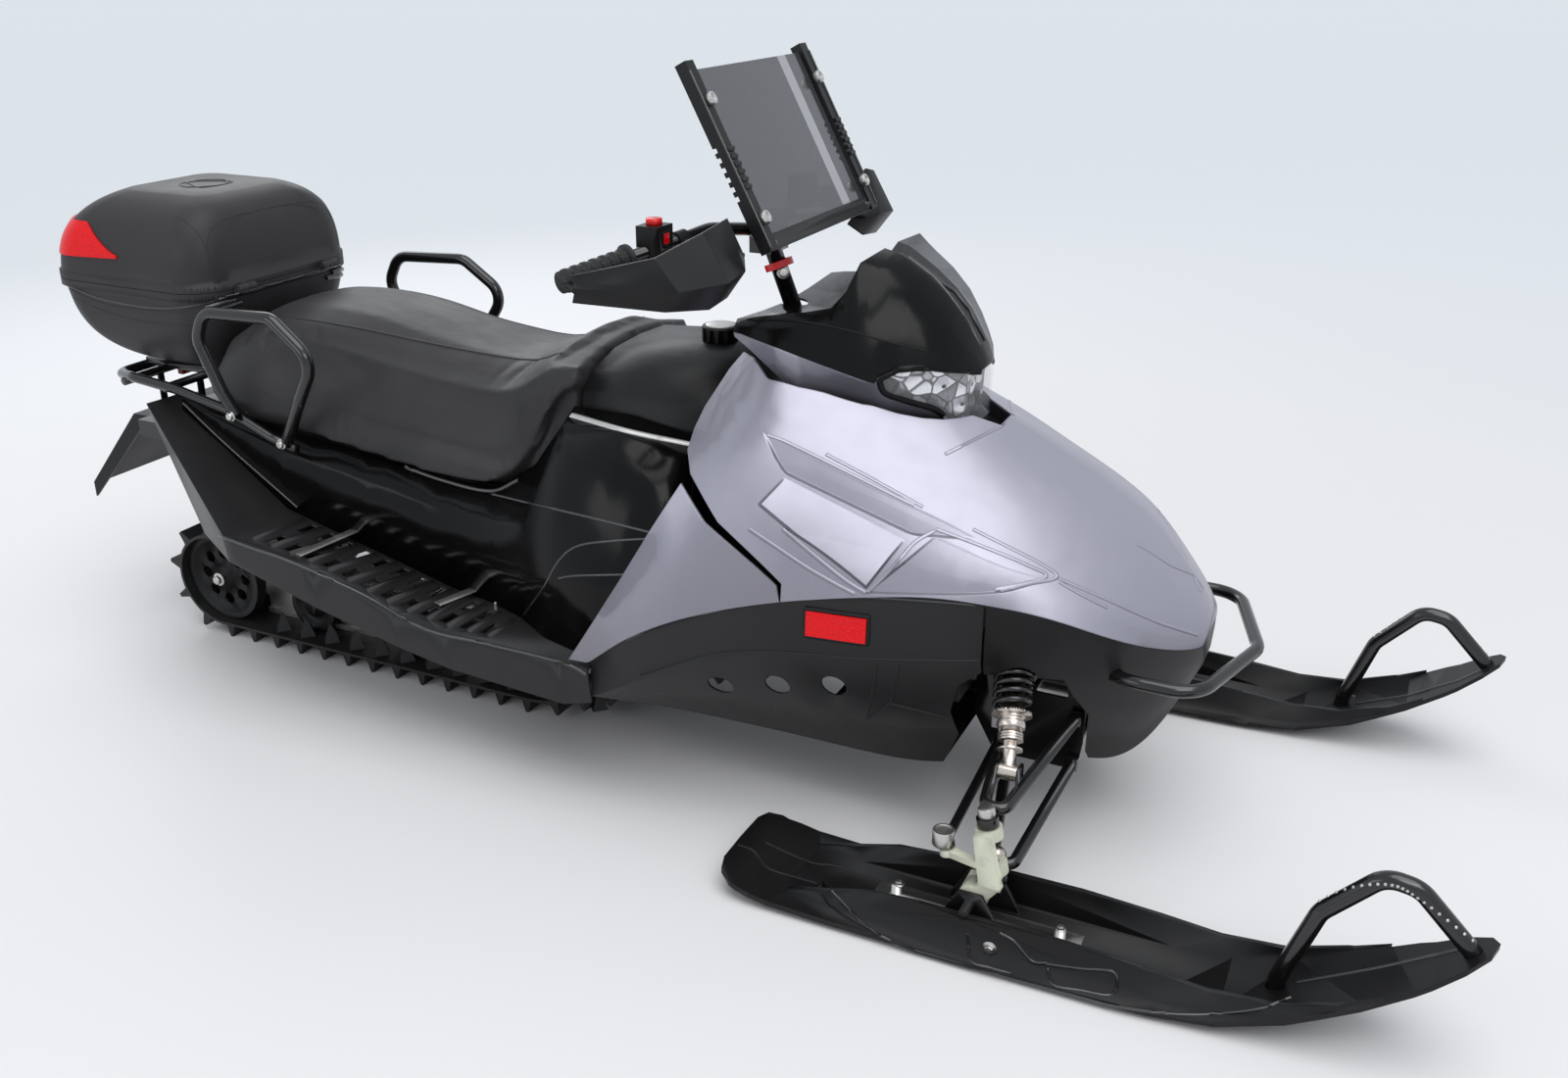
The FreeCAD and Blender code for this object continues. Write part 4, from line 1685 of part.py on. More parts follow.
def make_case_tub():
    foot_z = CASE_RIM_Z - CASE_TUB_HEIGHT
    outer = case_form(TUB_LEVEL_SHARES, foot_z, CASE_TUB_HEIGHT, 0, 0, 0)
    inner = case_form(TUB_LEVEL_SHARES, foot_z, CASE_TUB_HEIGHT, CASE_WALL, CASE_WALL, -OVERRUN)
    band = rim_band(CASE_RIM_Z - CASE_RIM_HEIGHT, CASE_RIM_Z, 0)
    tub = united([outer, band]).cut(inner)
    barrels = []
    third = HINGE_TAB_WIDTH / 3.0
    for y in (-HINGE_TAB_Y, HINGE_TAB_Y):
        for side in (-1.0, 1.0):
            barrel = hinge_barrel(y + side * third, third - 2.0 * PIN_FIT, HINGE_BARREL_RADIUS)
            axis = hinge_axis()
            arm = box(CASE_FRONT_X - CASE_RIM_WIDTH / 2.0, axis.x,
                      y + side * third - third / 2.0 + PIN_FIT,
                      y + side * third + third / 2.0 - PIN_FIT, axis.z - HINGE_BARREL_RADIUS, CASE_RIM_Z)
            barrels += [barrel, arm]
    bore = hinge_barrel(0, 2.0 * CASE_HALF_WIDTH, HINGE_PIN_RADIUS + PIN_FIT)
    tub = united([tub] + [shape.cut(bore) for shape in barrels])
    save("case_tub", [tub])


def make_case_lid():
    foot_z = CASE_RIM_Z + CASE_LID_GAP
    outer = case_form(LID_LEVEL_SHARES, foot_z, CASE_LID_HEIGHT, 0, 0, 0)
    inner = case_form(LID_LEVEL_SHARES, foot_z, CASE_LID_HEIGHT, CASE_WALL, -OVERRUN, CASE_WALL)
    band = rim_band(foot_z, foot_z + CASE_RIM_HEIGHT, 0)
    lid = united([outer, band]).cut(inner)
    parts = [lid]
    third = HINGE_TAB_WIDTH / 3.0
    axis = hinge_axis()
    for y in (-HINGE_TAB_Y, HINGE_TAB_Y):
        parts.append(hinge_barrel(y, third - 2.0 * PIN_FIT, HINGE_BARREL_RADIUS))
        parts.append(box(CASE_FRONT_X - CASE_RIM_WIDTH / 2.0, axis.x, y - third / 2.0 + PIN_FIT,
                         y + third / 2.0 - PIN_FIT, foot_z, axis.z + HINGE_BARREL_RADIUS))
        parts.append(hinge_barrel(y, HINGE_TAB_WIDTH, HINGE_PIN_RADIUS))
    save("case_lid", [united(parts)])


def make_case_lamps():
    foot_z = CASE_RIM_Z + CASE_LID_GAP
    outer = case_form(LID_LEVEL_SHARES, foot_z, CASE_LID_HEIGHT, -CASE_LAMP_THICK, 0, 0)
    inner = case_form(LID_LEVEL_SHARES, foot_z, CASE_LID_HEIGHT, -SEAT_FIT, 0, 0)
    outline = places(CASE_LAMP_SHARES, CASE_FRONT_X, CASE_LENGTH, CASE_LID_HEIGHT, CASE_RIM_Z)
    region = plate_xz(outline, CASE_HALF_WIDTH * 0.5, WORLD)
    lamp = outer.cut(inner).common(region).cut(rim_band(CASE_RIM_Z, foot_z + CASE_RIM_HEIGHT, SEAT_FIT))
    save("case_lamps", both_sides(lamp.Solids))


# Handlebar, grips and what they carry
def bar_centre():
    return column_point(COLUMN_UP)


def bar_route():
    middle = bar_centre()
    half = [at(middle.x, BAR_CLAMP_HALF, middle.z + BAR_CLAMP_RADIUS)]
    half.append(at(middle.x - BAR_SWEEP * 0.16, BAR_HALF_SPAN * 0.40,
                   middle.z + BAR_CLAMP_RADIUS + BAR_RISE))
    half.append(at(middle.x - BAR_SWEEP, BAR_HALF_SPAN, middle.z))
    return half


def make_handlebar():
    half = bar_route()
    other = [at(point.x, -point.y, point.z) for point in half]
    save("handlebar", [tube(other[::-1] + half, BAR_BEND, BAR_RADIUS)])


def make_steering_stem():
    centre = bar_centre()
    column = rod(column_point(-COLUMN_DOWN), column_point(COLUMN_UP), COLUMN_RADIUS)
    clamp_z = centre.z + BAR_CLAMP_RADIUS
    clamp = box(centre.x - BAR_CLAMP_RADIUS, centre.x + BAR_CLAMP_RADIUS, -BAR_CLAMP_HALF, BAR_CLAMP_HALF,
                centre.z - BAR_CLAMP_RADIUS, clamp_z + BAR_CLAMP_RADIUS)
    half = bar_route()
    other = [at(point.x, -point.y, point.z) for point in half]
    bar = tube(other[::-1] + half, BAR_BEND, BAR_RADIUS + SEAT_FIT)
    save("steering_stem", [united([column, clamp]).cut(bar)])


def bar_end():
    half = bar_route()
    way = half[2] - half[1]
    way.normalize()
    return half[2], way


def make_grips():
    end, way = bar_end()
    start = end - way * GRIP_LENGTH
    grip = rod(start, end + way * GRIP_RIB_WIDTH, GRIP_RADIUS)
    ribs = []
    for index in range(GRIP_RIBS):
        foot = start + way * (GRIP_LENGTH * (index + 0.5) / GRIP_RIBS)
        ribs.append(rod(foot, foot + way * GRIP_RIB_WIDTH, GRIP_RADIUS + GRIP_RIB_HEIGHT))
    flange = rod(start, start + way * GRIP_RIB_WIDTH, GRIP_RADIUS + GRIP_FLANGE)
    bore = rod(start - way * GRIP_RIB_WIDTH, end + way * SEAT_FIT, BAR_RADIUS + SEAT_FIT)
    save("grips", both_sides([united([grip, flange] + ribs).cut(bore)]))


# A point on the straight outer run of the bar, measured inboard from its end
def on_bar(inboard):
    end, way = bar_end()
    return end - way * inboard


def make_hand_controls():
    end, way = bar_end()
    bore = rod(on_bar(BAR_HALF_SPAN), end, BAR_RADIUS + SEAT_FIT)
    place = on_bar(GRIP_LENGTH + SWITCH_LENGTH + PART_GAP)
    half = SWITCH_DEPTH / 2.0
    block = box(place.x - half, place.x + half, place.y - SWITCH_LENGTH / 2.0,
                place.y + SWITCH_LENGTH / 2.0,
                place.z - half, place.z - half + SWITCH_HEIGHT)
    lever_start = at(place.x + half, place.y, place.z)
    lever_end = on_bar(PART_GAP) + at(LEVER_GAP, 0, 0)
    knee = at(place.x + LEVER_GAP, place.y + SWITCH_LENGTH / 2.0, place.z)
    lever = tube([lever_start - at(half, 0, 0), knee, lever_end], LEVER_GAP / 2.0, LEVER_RADIUS)
    left = united([block, lever]).cut(bore)
    button = rod(at(place.x, place.y, place.z - half + SWITCH_HEIGHT),
                 at(place.x, place.y, place.z - half + SWITCH_HEIGHT + BUTTON_HEIGHT), BUTTON_RADIUS)
    save("hand_controls", [left, mirrored(left)])
    save("stop_switch", [mirrored(button)])


def make_hand_guards():
    grid = []
    for row in GUARD_GRID_SHARES:
        grid.append([at(x * GUARD_REACH, y * GUARD_HALF_SPAN, z * GUARD_HEIGHT) for x, y, z in row])
    guard = folded_plate(grid, at(-GUARD_WALL * 0.7, -GUARD_WALL * 0.7, 0))
    end, way = bar_end()
    outer = rod(end, grid[1][-1], LEVER_RADIUS)
    root = on_bar(GRIP_LENGTH + SWITCH_LENGTH + SWITCH_LENGTH + PART_GAP + PART_GAP)
    inner = rod(root, grid[1][0] + at(0, GUARD_WALL, 0), LEVER_RADIUS)
    collar = rod(root - way * GUARD_CLAMP_HALF, root + way * GUARD_CLAMP_HALF, BAR_RADIUS + GUARD_WALL)
    bore = rod(on_bar(BAR_HALF_SPAN), end, BAR_RADIUS + SEAT_FIT)
    grip_room = rod(on_bar(GRIP_LENGTH), end + way * (GRIP_RIB_WIDTH + SEAT_FIT), GRIP_RADIUS + SEAT_FIT)
    save("hand_guards", both_sides([united([guard, inner, collar, outer]).cut([bore, grip_room])]))


def make_windshield():
    def placed(shape):
        moved = shape.copy()
        moved.rotate(at(0, 0, 0), at(0, 1, 0), -SCREEN_LEAN)
        moved.translate(at(SCREEN_BOTTOM_X, 0, SCREEN_BOTTOM_Z))
        return moved
    half = SCREEN_THICK / 2.0
    glass_half = SCREEN_HALF_WIDTH - SEAT_FIT
    glass = box(-half, half, -glass_half, glass_half, SCREEN_RAIL_WIDTH, SCREEN_HEIGHT)
    save("windshield", [placed(glass)])
    depth = SCREEN_RAIL_DEPTH / 2.0
    rails = []
    for side in (-1.0, 1.0):
        low = side * SCREEN_HALF_WIDTH
        high = low + side * SCREEN_RAIL_WIDTH
        rail = box(-depth, depth, min(low, high), max(low, high), 0,
                   SCREEN_HEIGHT + SCREEN_RAIL_WIDTH / 2.0)
        grooves = []
        for index in range(6):
            z = SCREEN_HEIGHT * 0.3 + index * 2.0 * SCREEN_GROOVE
            grooves.append(box(-depth * 2.0, -depth * 0.4, min(low, high), max(low, high), z,
                               z + SCREEN_GROOVE))
        rails.append(rail.cut(grooves))
    bottom = box(-depth * 0.5, depth * 0.5, -SCREEN_HALF_WIDTH, SCREEN_HALF_WIDTH, 0,
                 SCREEN_RAIL_WIDTH - SEAT_FIT)
    frame = united([placed(shape) for shape in rails + [bottom]])
    centre = bar_centre()
    stays = []
    for side in (-1.0, 1.0):
        foot = at(centre.x, side * BAR_CLAMP_HALF * 2.0, centre.z + BAR_CLAMP_RADIUS)
        head = at(SCREEN_BOTTOM_X, side * SCREEN_HALF_WIDTH, SCREEN_BOTTOM_Z + SCREEN_STAY_RADIUS)
        stays.append(rod(foot, head, SCREEN_STAY_RADIUS))
    half_route = bar_route()
    other = [at(point.x, -point.y, point.z) for point in half_route]
    bar = tube(other[::-1] + half_route, BAR_BEND, BAR_RADIUS + SEAT_FIT)
    save("windshield_frame", [united([frame] + stays).cut(bar)])


def main():
    os.makedirs("parts", exist_ok=True)
    make_track()
    make_rear_idlers()
    make_bogie_wheels()
    make_slide_rails()
    make_drive_axle()
    make_track_suspension()
    make_tunnel()
    make_running_boards()
    make_side_covers()
    make_seat()
    make_fuel_tank()
    make_fuel_cap()
    shell = body_shell()
    make_hood(shell)
    make_side_panels(shell)
    make_belly_pan(shell)
    make_nose_pan(shell)
    make_side_reflectors()
    make_front_bumper()
    make_pod()
    make_engine()
    make_front_frame()
    make_steering_bracket()
    make_upper_arms()
    make_lower_arms()
    make_dampers()
    make_springs()
    make_tie_rods()
    make_spindle()
    make_ski()
    make_ski_leaf()
    make_ski_loop()
    make_rear_rack()
    make_grab_handles()
    make_snow_flap()
    make_tail_lamp()
    make_case_tub()
    make_case_lid()
    make_case_lamps()
    make_handlebar()
    make_steering_stem()
    make_grips()
    make_hand_controls()
    make_hand_guards()
    make_windshield()


main()
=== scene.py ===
"""Dresses a packed snowmobile: lacquer, moulded plastic, seat cover, rubber, tubes, lamps and small fittings."""

import json
import math

import bmesh
import bpy
import numpy as np
from bpy.props import FloatProperty, FloatVectorProperty, PointerProperty
from mathutils import Matrix, Vector
from mathutils.bvhtree import BVHTree


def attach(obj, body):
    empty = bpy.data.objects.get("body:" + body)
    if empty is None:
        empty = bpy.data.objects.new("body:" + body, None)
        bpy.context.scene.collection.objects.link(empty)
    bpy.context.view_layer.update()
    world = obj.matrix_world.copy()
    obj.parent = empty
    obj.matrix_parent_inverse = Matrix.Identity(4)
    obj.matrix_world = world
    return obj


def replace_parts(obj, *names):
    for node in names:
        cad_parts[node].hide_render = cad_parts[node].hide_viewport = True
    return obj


bl_info = {
    "name": "Snowmobile dressing",
    "version": (1, 0, 0),
    "blender": (4, 5, 0),
    "location": "3D View > Sidebar > Snowmobile",
    "description": "Finishes and small pieces for a utility snowmobile with a top case",
    "category": "Object",
}

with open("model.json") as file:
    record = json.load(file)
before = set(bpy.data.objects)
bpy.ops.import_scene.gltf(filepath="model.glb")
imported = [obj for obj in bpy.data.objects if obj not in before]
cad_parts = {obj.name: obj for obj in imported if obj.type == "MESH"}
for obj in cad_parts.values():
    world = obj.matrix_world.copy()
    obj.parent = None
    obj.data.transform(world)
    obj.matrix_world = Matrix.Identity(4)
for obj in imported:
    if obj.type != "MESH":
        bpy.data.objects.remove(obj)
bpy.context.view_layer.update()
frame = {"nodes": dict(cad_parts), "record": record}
NODES = frame["nodes"]
UP = (0.0, 0.0, 1.0)


# Shader sockets and finishes


def operators(operation):
    """An operator of a socket and its reflected form, each of which adds one Math node."""

    def plain(wire, other):
        return wire.paint.node("ShaderNodeMath", {"operation": operation}, {0: wire, 1: other})

    def reflected(wire, other):
        return wire.paint.node("ShaderNodeMath", {"operation": operation}, {0: other, 1: wire})

    return plain, reflected


class Wire:
    """A shader socket. Arithmetic on it adds the Math nodes that work the expression out."""

    __add__, __radd__ = operators("ADD")
    __sub__, __rsub__ = operators("SUBTRACT")
    __mul__, __rmul__ = operators("MULTIPLY")
    __pow__, __rpow__ = operators("POWER")

    def __init__(self, paint, socket):
        self.paint = paint
        self.socket = socket

    def step(self, low, high, to_low=0.0, to_high=1.0):
        """The value eased from to_low at low to to_high at high, flat beyond both."""
        settings = {"interpolation_type": "SMOOTHSTEP", "clamp": True}
        values = {"Value": self, "From Min": low, "From Max": high, "To Min": to_low, "To Max": to_high}
        return self.paint.node("ShaderNodeMapRange", settings, values)


class Paint:
    """One material's node tree, with short calls for the nodes that its finish needs."""

    def __init__(self, name):
        self.material = bpy.data.materials.new(name)
        self.material.use_nodes = True
        self.tree = self.material.node_tree
        self.tree.nodes.clear()
        self.place = self.node("ShaderNodeTexCoord", {}, {}, "Object")

    def node(self, kind, settings, values, output=0):
        """Adds one node, sets its settings, then its sockets' values or links, and gives one output."""
        made = self.tree.nodes.new(kind)
        for key, value in settings.items():
            setattr(made, key, value)
        for key, value in values.items():
            if isinstance(value, Wire):
                self.tree.links.new(value.socket, made.inputs[key])
            elif value is not None:
                made.inputs[key].default_value = value
        return Wire(self, made.outputs[output])

    def moved(self, scale, turn=(0.0, 0.0, 0.0)):
        return self.node("ShaderNodeMapping", {}, {"Vector": self.place, "Scale": scale, "Rotation": turn})

    def noise(self, scale, detail=3.0, rough=0.5, place=None):
        values = {"Vector": place or self.place, "Scale": scale, "Detail": detail, "Roughness": rough}
        return self.node("ShaderNodeTexNoise", {}, values, "Fac")

    def cells(self, scale, feature="F1", place=None, output="Distance"):
        values = {"Vector": place or self.place, "Scale": scale}
        return self.node("ShaderNodeTexVoronoi", {"feature": feature}, values, output)

    def axis(self, name, place=None):
        return self.node("ShaderNodeSeparateXYZ", {}, {0: place or self.place}, name)

    def rounded(self, radius):
        """A normal that turns softly over every sharp edge."""
        return self.node("ShaderNodeBevel", {"samples": 4}, {"Radius": radius})

    def blend(self, amount, first, second):
        """A colour that goes from first to second as amount goes from 0 to 1."""
        values = {0: amount, 6: first, 7: second}
        return self.node("ShaderNodeMix", {"data_type": "RGBA"}, values, 2)

    def bump(self, height, distance, strength=1.0, under=None):
        values = {"Height": height, "Distance": distance, "Strength": strength, "Normal": under}
        return self.node("ShaderNodeBump", {}, values)

    def finish(self, **values):
        """Ends the tree in one Principled surface with the given sockets."""
        named = {key.replace("_", " "): value for key, value in values.items()}
        surface = self.node("ShaderNodeBsdfPrincipled", {}, named)
        out = self.tree.nodes.new("ShaderNodeOutputMaterial")
        self.tree.links.new(surface.socket, out.inputs["Surface"])
        return self.material


def rgba(colour, gain=1.0):
    return tuple(channel * gain for channel in colour[:3]) + (1.0,)


def facet(paint, corners, slope, soft=0.005):
    """A height inside a convex outline in X and Z, falling by slope with the distance from its first side."""
    corners = np.asarray(corners)
    after = np.roll(corners, -1, axis=0)
    way = 1.0 if np.sum(corners[:, 0] * after[:, 1] - after[:, 0] * corners[:, 1]) > 0 else -1.0
    run = unit(after - corners)
    east, rise, inside, depth = paint.axis("X"), paint.axis("Z"), None, None
    for (x, z), (a, b) in zip(corners.tolist(), run.tolist()):
        distance = (east - x) * (-b * way) + (rise - z) * (a * way)
        depth = depth or distance
        side = distance.step(0.0, soft)
        inside = side * inside if inside else side
    return inside * depth * -slope


def lacquer(name, colour, facets=()):
    """Metallic lacquer with painted shade on faces turned aside or down: flakes lighten the base, a clear coat lies
    over it, facets lean parts of it.
    """
    p = Paint(name)
    sparkle = p.axis("X", p.cells(2400.0, output="Color"))
    cloud = p.noise(2.2, 3.0)
    base = p.blend(sparkle.step(0.3, 1.0, 0.0, 0.22), rgba(colour, 0.94), rgba(colour, 1.25))
    base = p.blend(cloud.step(0.3, 0.8, 0.0, 0.5), base, rgba(colour, 1.05))
    # Painted shade: the less a face turns up, the nearer its colour comes to a half mix with a copy at three tenths
    # of the colour.
    facing_for_painted_shade = p.axis("Z", p.node("ShaderNodeNewGeometry", {}, {}, "Normal"))
    base = p.blend(facing_for_painted_shade.step(-0.2, 0.75, 0.0, 1.0), p.blend(0.5, base, rgba(colour, 0.30)), base)
    under = p.rounded(0.003)
    for corners, slope in facets:
        under = p.bump(facet(p, corners, slope), 1.0, 1.0, under)
    normal = p.bump(p.noise(170.0, 2.0), 0.0002, 0.03, under)
    rough = p.noise(30.0, 5.0).step(0.3, 0.8, 0.33, 0.39)
    return p.finish(Base_Color=base, Metallic=0.55, Roughness=rough, Coat_Weight=0.25, Coat_Roughness=0.15,
                    Normal=normal)


def gloss_plastic(name, colour, level=0.17):
    """Gloss moulded plastic: a deep even colour with faint waves, hair scratches and a breath of dust."""
    p = Paint(name)
    scratch = p.noise(90.0, 8.0, 0.7, p.moved((1.0, 14.0, 3.0), (0.3, 0.5, 0.2)))
    dust = p.noise(14.0, 6.0, 0.65).step(0.55, 0.85)
    base = p.blend(dust * 0.06, rgba(colour), rgba((0.06, 0.06, 0.063)))
    rough = scratch.step(0.45, 0.75, 0.17, 0.25) + dust * 0.06
    normal = p.bump(scratch, 0.00008, 0.05, p.rounded(0.002))
    return p.finish(Base_Color=base, Roughness=rough, Specular_IOR_Level=level, Normal=normal)


def moulded_plastic(name, colour, grain=900.0, depth=0.00025, rough=0.5):
    """Textured moulded plastic: a leather-like spark grain, flow clouds and pale scuffs."""
    p = Paint(name)
    pebbles = p.cells(grain, "SMOOTH_F1")
    fine = p.noise(grain * 2.0, 3.0)
    cloud = p.noise(6.0, 5.0).step(0.35, 0.75)
    scuff = p.noise(30.0, 8.0, 0.75, p.moved((1.0, 5.0, 2.0), (0.2, 0.4, 0.9))).step(0.66, 0.8)
    base = p.blend(cloud * 0.5, rgba(colour, 0.85), rgba(colour, 1.3))
    base = p.blend(scuff * 0.16, base, rgba((0.16, 0.16, 0.165)))
    normal = p.bump(pebbles * 0.7 + fine * 0.3, depth, 0.5, p.rounded(0.002))
    return p.finish(Base_Color=base, Roughness=cloud * 0.1 + scuff * 0.08 + (rough - 0.05),
                    Specular_IOR_Level=0.26, Normal=normal)


def powder_coat(name, colour, rough=0.2):
    """Powder coated tube: gloss black with a soft orange peel and rubbed spots that show dull metal."""
    p = Paint(name)
    peel = p.noise(420.0, 2.0)
    rub = p.noise(55.0, 7.0, 0.7).step(0.72, 0.8)
    base = p.blend(rub * 0.5, rgba(colour), rgba((0.12, 0.115, 0.11)))
    return p.finish(Base_Color=base, Roughness=rub * 0.25 + rough, Coat_Weight=0.3, Coat_Roughness=0.08,
                    Normal=p.bump(peel, 0.0003, 0.10, p.rounded(0.001)))


def worked_metal(name, colour, rough=0.3, brushed=(1.0, 1.0, 1.0), stain=(0.10, 0.085, 0.07)):
    """Bare or plated metal: brushed lines, water stains and grime in patches."""
    p = Paint(name)
    lines = p.noise(700.0, 4.0, 0.6, p.moved(brushed))
    patch = p.noise(22.0, 7.0, 0.65).step(0.5, 0.75)
    base = p.blend(patch * 0.45, rgba(colour), rgba(stain))
    base = p.blend(lines.step(0.3, 0.8, 0.0, 0.3), base, rgba(colour, 1.25))
    return p.finish(Base_Color=base, Metallic=1.0, Roughness=lines * 0.12 + patch * 0.2 + (rough - 0.06),
                    Normal=p.bump(lines, 0.0001, 0.25, p.rounded(0.0008)))


def seat_vinyl(name, colour):
    """Seat cover: fine hide grain with pores, soft creases, and smoother, lighter patches over the whole cover,
    worn vinyl that also holds a painted sheen.
    """
    p = Paint(name)
    hide = p.cells(620.0)
    pores = p.cells(1500.0).step(0.0, 0.25)
    crease = p.noise(26.0, 3.0, 0.45, p.moved((1.0, 2.2, 1.6), (0.0, 0.5, 0.3)))
    # Worn patches: smoother, and lighter in colour, which is wear and also a painted sheen.
    wear_and_painted_sheen = p.noise(5.0, 4.0).step(0.35, 0.7)
    base = p.blend(wear_and_painted_sheen * 0.6, rgba(colour, 0.85), rgba(colour, 1.5))
    normal = p.bump(hide * 0.6 + pores * 0.2, 0.0003, 0.45, p.bump(crease, 0.004, 0.12))
    return p.finish(Base_Color=base, Roughness=wear_and_painted_sheen * -0.08 + crease * 0.12 + 0.44, Specular_IOR_Level=0.28,
                    Sheen_Weight=0.02, Sheen_Roughness=0.5, Normal=normal)


def tread_rubber(name, colour):
    """Track rubber: matte, mould lines across, pale dust held in the low places."""
    p = Paint(name)
    dust = p.noise(18.0, 8.0, 0.7).step(0.48, 0.8)
    base = p.blend(dust * 0.2, rgba(colour), rgba((0.075, 0.072, 0.068)))
    normal = p.bump(p.noise(380.0, 5.0, 0.6), 0.0006, 0.5)
    return p.finish(Base_Color=base, Roughness=dust * 0.15 + 0.55, Normal=normal)


def nylon(name, colour):
    """Glass filled nylon casting: waxy, with weld lines and stained lows."""
    p = Paint(name)
    stain = p.noise(45.0, 6.0, 0.6).step(0.5, 0.78)
    base = p.blend(stain * 0.5, rgba(colour), rgba((0.30, 0.30, 0.24)))
    normal = p.bump(p.noise(240.0, 4.0), 0.0004, 0.25, p.rounded(0.0015))
    return p.finish(Base_Color=base, Roughness=stain * 0.12 + 0.34, Subsurface_Weight=0.08,
                    Subsurface_Radius=(0.004, 0.004, 0.003), Normal=normal)


def clear_cover(name, colour, rough, alpha, band=None):
    """Clear cover: a thin tinted sheet with faint wipe marks, and a paler strip where a band is given."""
    p = Paint(name)
    wipe = p.noise(60.0, 6.0, 0.7, p.moved((1.0, 6.0, 1.5), (0.4, 0.2, 0.1)))
    tint = p.blend(wipe.step(0.4, 0.8, 0.0, 0.3), rgba(colour), rgba(colour, 1.4))
    cover = alpha
    if band:
        across = p.axis("Y")
        strip = across.step(band[0], band[0] + 0.003) - across.step(band[1] - 0.003, band[1])
        tint = p.blend(strip * 0.8, tint, rgba((0.42, 0.43, 0.46)))
        cover = strip * 0.05 + alpha
    return p.finish(Base_Color=tint, Roughness=wipe.step(0.5, 0.8, rough, rough + 0.06), Alpha=cover,
                    Coat_Weight=0.5, Coat_Roughness=0.02)


def lamp_facets(name, colour, pitch):
    """Lamp bowl: plated facets the size of a coin, each with its own tone as a painted reflection, dark lines
    between, a painted dark reflection in some.
    """
    p = Paint(name)
    stretched = p.moved((1.0, 1.0, 1.2))
    tone = p.axis("X", p.cells(pitch, output="Color", place=stretched))
    centre = p.cells(pitch, place=stretched)
    edge = p.cells(pitch, "DISTANCE_TO_EDGE", place=stretched)
    # Painted reflection: each facet's tone stands in for what the plated facet reflects.
    base = p.blend(tone.step(0.1, 0.8), rgba(colour, 0.30), rgba(colour, 1.15))
    base = p.blend(edge.step(0.02, 0.08, 1.0, 0.0) * 0.9, base, rgba((0.03, 0.03, 0.032)))
    # Painted reflection: a dark spot at the middle of the lighter facets.
    spot = centre.step(0.12, 0.17, 1.0, 0.0) * tone.step(0.45, 0.5)
    base = p.blend(spot, base, rgba((0.01, 0.01, 0.01)))
    normal = p.bump(centre, 0.010, 0.5)
    return p.finish(Base_Color=base, Metallic=0.75, Roughness=0.2, Normal=normal)


def prism_lens(name, colour, pitch):
    """Reflector lens: rows of small prisms under a smooth face, with a faint painted glow."""
    p = Paint(name)
    prism = p.cells(pitch)
    base = p.blend(prism.step(0.1, 0.6), rgba(colour, 1.2), rgba(colour, 0.75))
    # Painted glow: a faint emission in the lens colour, though nothing lights the lens.
    return p.finish(Base_Color=base, Roughness=0.3, Specular_IOR_Level=0.25, Emission_Color=rgba(colour),
                    Emission_Strength=0.12, Normal=p.bump(prism, 0.0008, 0.2))


# Corners of the hood's facets on the picture, and the slope at which each falls away from its first side
HOOD_FACETS = (
    (((775, 436), (1010, 553), (930, 547), (800, 484)), 0.36),
    (((955, 545), (1078, 590), (1030, 605), (880, 606)), 0.20),
    (((700, 478), (872, 604), (884, 605), (745, 500)), 0.30),
    (((800, 486), (925, 551), (884, 602), (772, 515)), -0.30),
)


def hood_lacquer(colours):
    """The lacquer of the hood, with its facets found where the view through their corners meets the hood."""
    facets = [(sight("hood", corners)[0][:, (0, 2)], slope) for corners, slope in HOOD_FACETS]
    return lacquer("hood_shell", colours.hood, [pair for pair in facets if len(pair[0]) == 4])


FINISHES = {
    "hood_shell": hood_lacquer,
    "hood_paint": lambda c: lacquer("hood_paint", c.hood),
    "gloss_black": lambda c: gloss_plastic("gloss_black", c.gloss),
    "satin_grey": lambda c: moulded_plastic("satin_grey", c.satin, 1400.0, 0.00012, 0.40),
    "black_plastic": lambda c: moulded_plastic("black_plastic", c.plain, 1100.0, 0.0002, 0.44),
    "case_plastic": lambda c: moulded_plastic("case_plastic", c.case, 760.0, 0.0004, 0.50),
    "seat_leather": lambda c: seat_vinyl("seat_leather", c.seat),
    "track_rubber": lambda c: tread_rubber("track_rubber", c.rubber),
    "frame_black": lambda c: powder_coat("frame_black", c.tube),
    "dark_metal": lambda c: powder_coat("dark_metal", c.tube, 0.36),
    "bright_steel": lambda c: worked_metal("bright_steel", c.steel, 0.34, (1.0, 1.0, 8.0)),
    "nickel": lambda c: worked_metal("nickel", c.nickel, 0.26, (1.0, 1.0, 0.2)),
    "aluminium": lambda c: worked_metal("aluminium", c.steel, 0.38, (0.1, 1.0, 1.0)),
    "nylon": lambda c: nylon("nylon", c.nylon),
    "engine_metal": lambda c: worked_metal("engine_metal", (0.16, 0.16, 0.16), 0.55),
    "clear_lens": lambda c: clear_cover("clear_lens", (0.50, 0.52, 0.54), 0.03, 0.10),
    "lamp_bowl": lambda c: lamp_facets("lamp_bowl", (0.86, 0.87, 0.89), 34.0),
    "smoked_glass": lambda c: clear_cover("smoked_glass", c.glass, 0.04, 0.86, (0.105, 0.140)),
    "red_lens": lambda c: prism_lens("red_lens", c.red, 420.0),
    "red_plastic": lambda c: gloss_plastic("red_plastic", c.red, 0.5),
    "edge_black": lambda c: gloss_plastic("edge_black", (0.02, 0.02, 0.021), 0.9),
    "tail_red": lambda c: prism_lens("tail_red", (0.10, 0.003, 0.003), 260.0),
}


def colour(name, default, note):
    return FloatVectorProperty(name=name, description=note, default=default, subtype="COLOR", size=3,
                               min=0.0, max=1.0)


def length(name, default, note):
    return FloatProperty(name=name, description=note, default=default, min=0.0, unit="LENGTH")


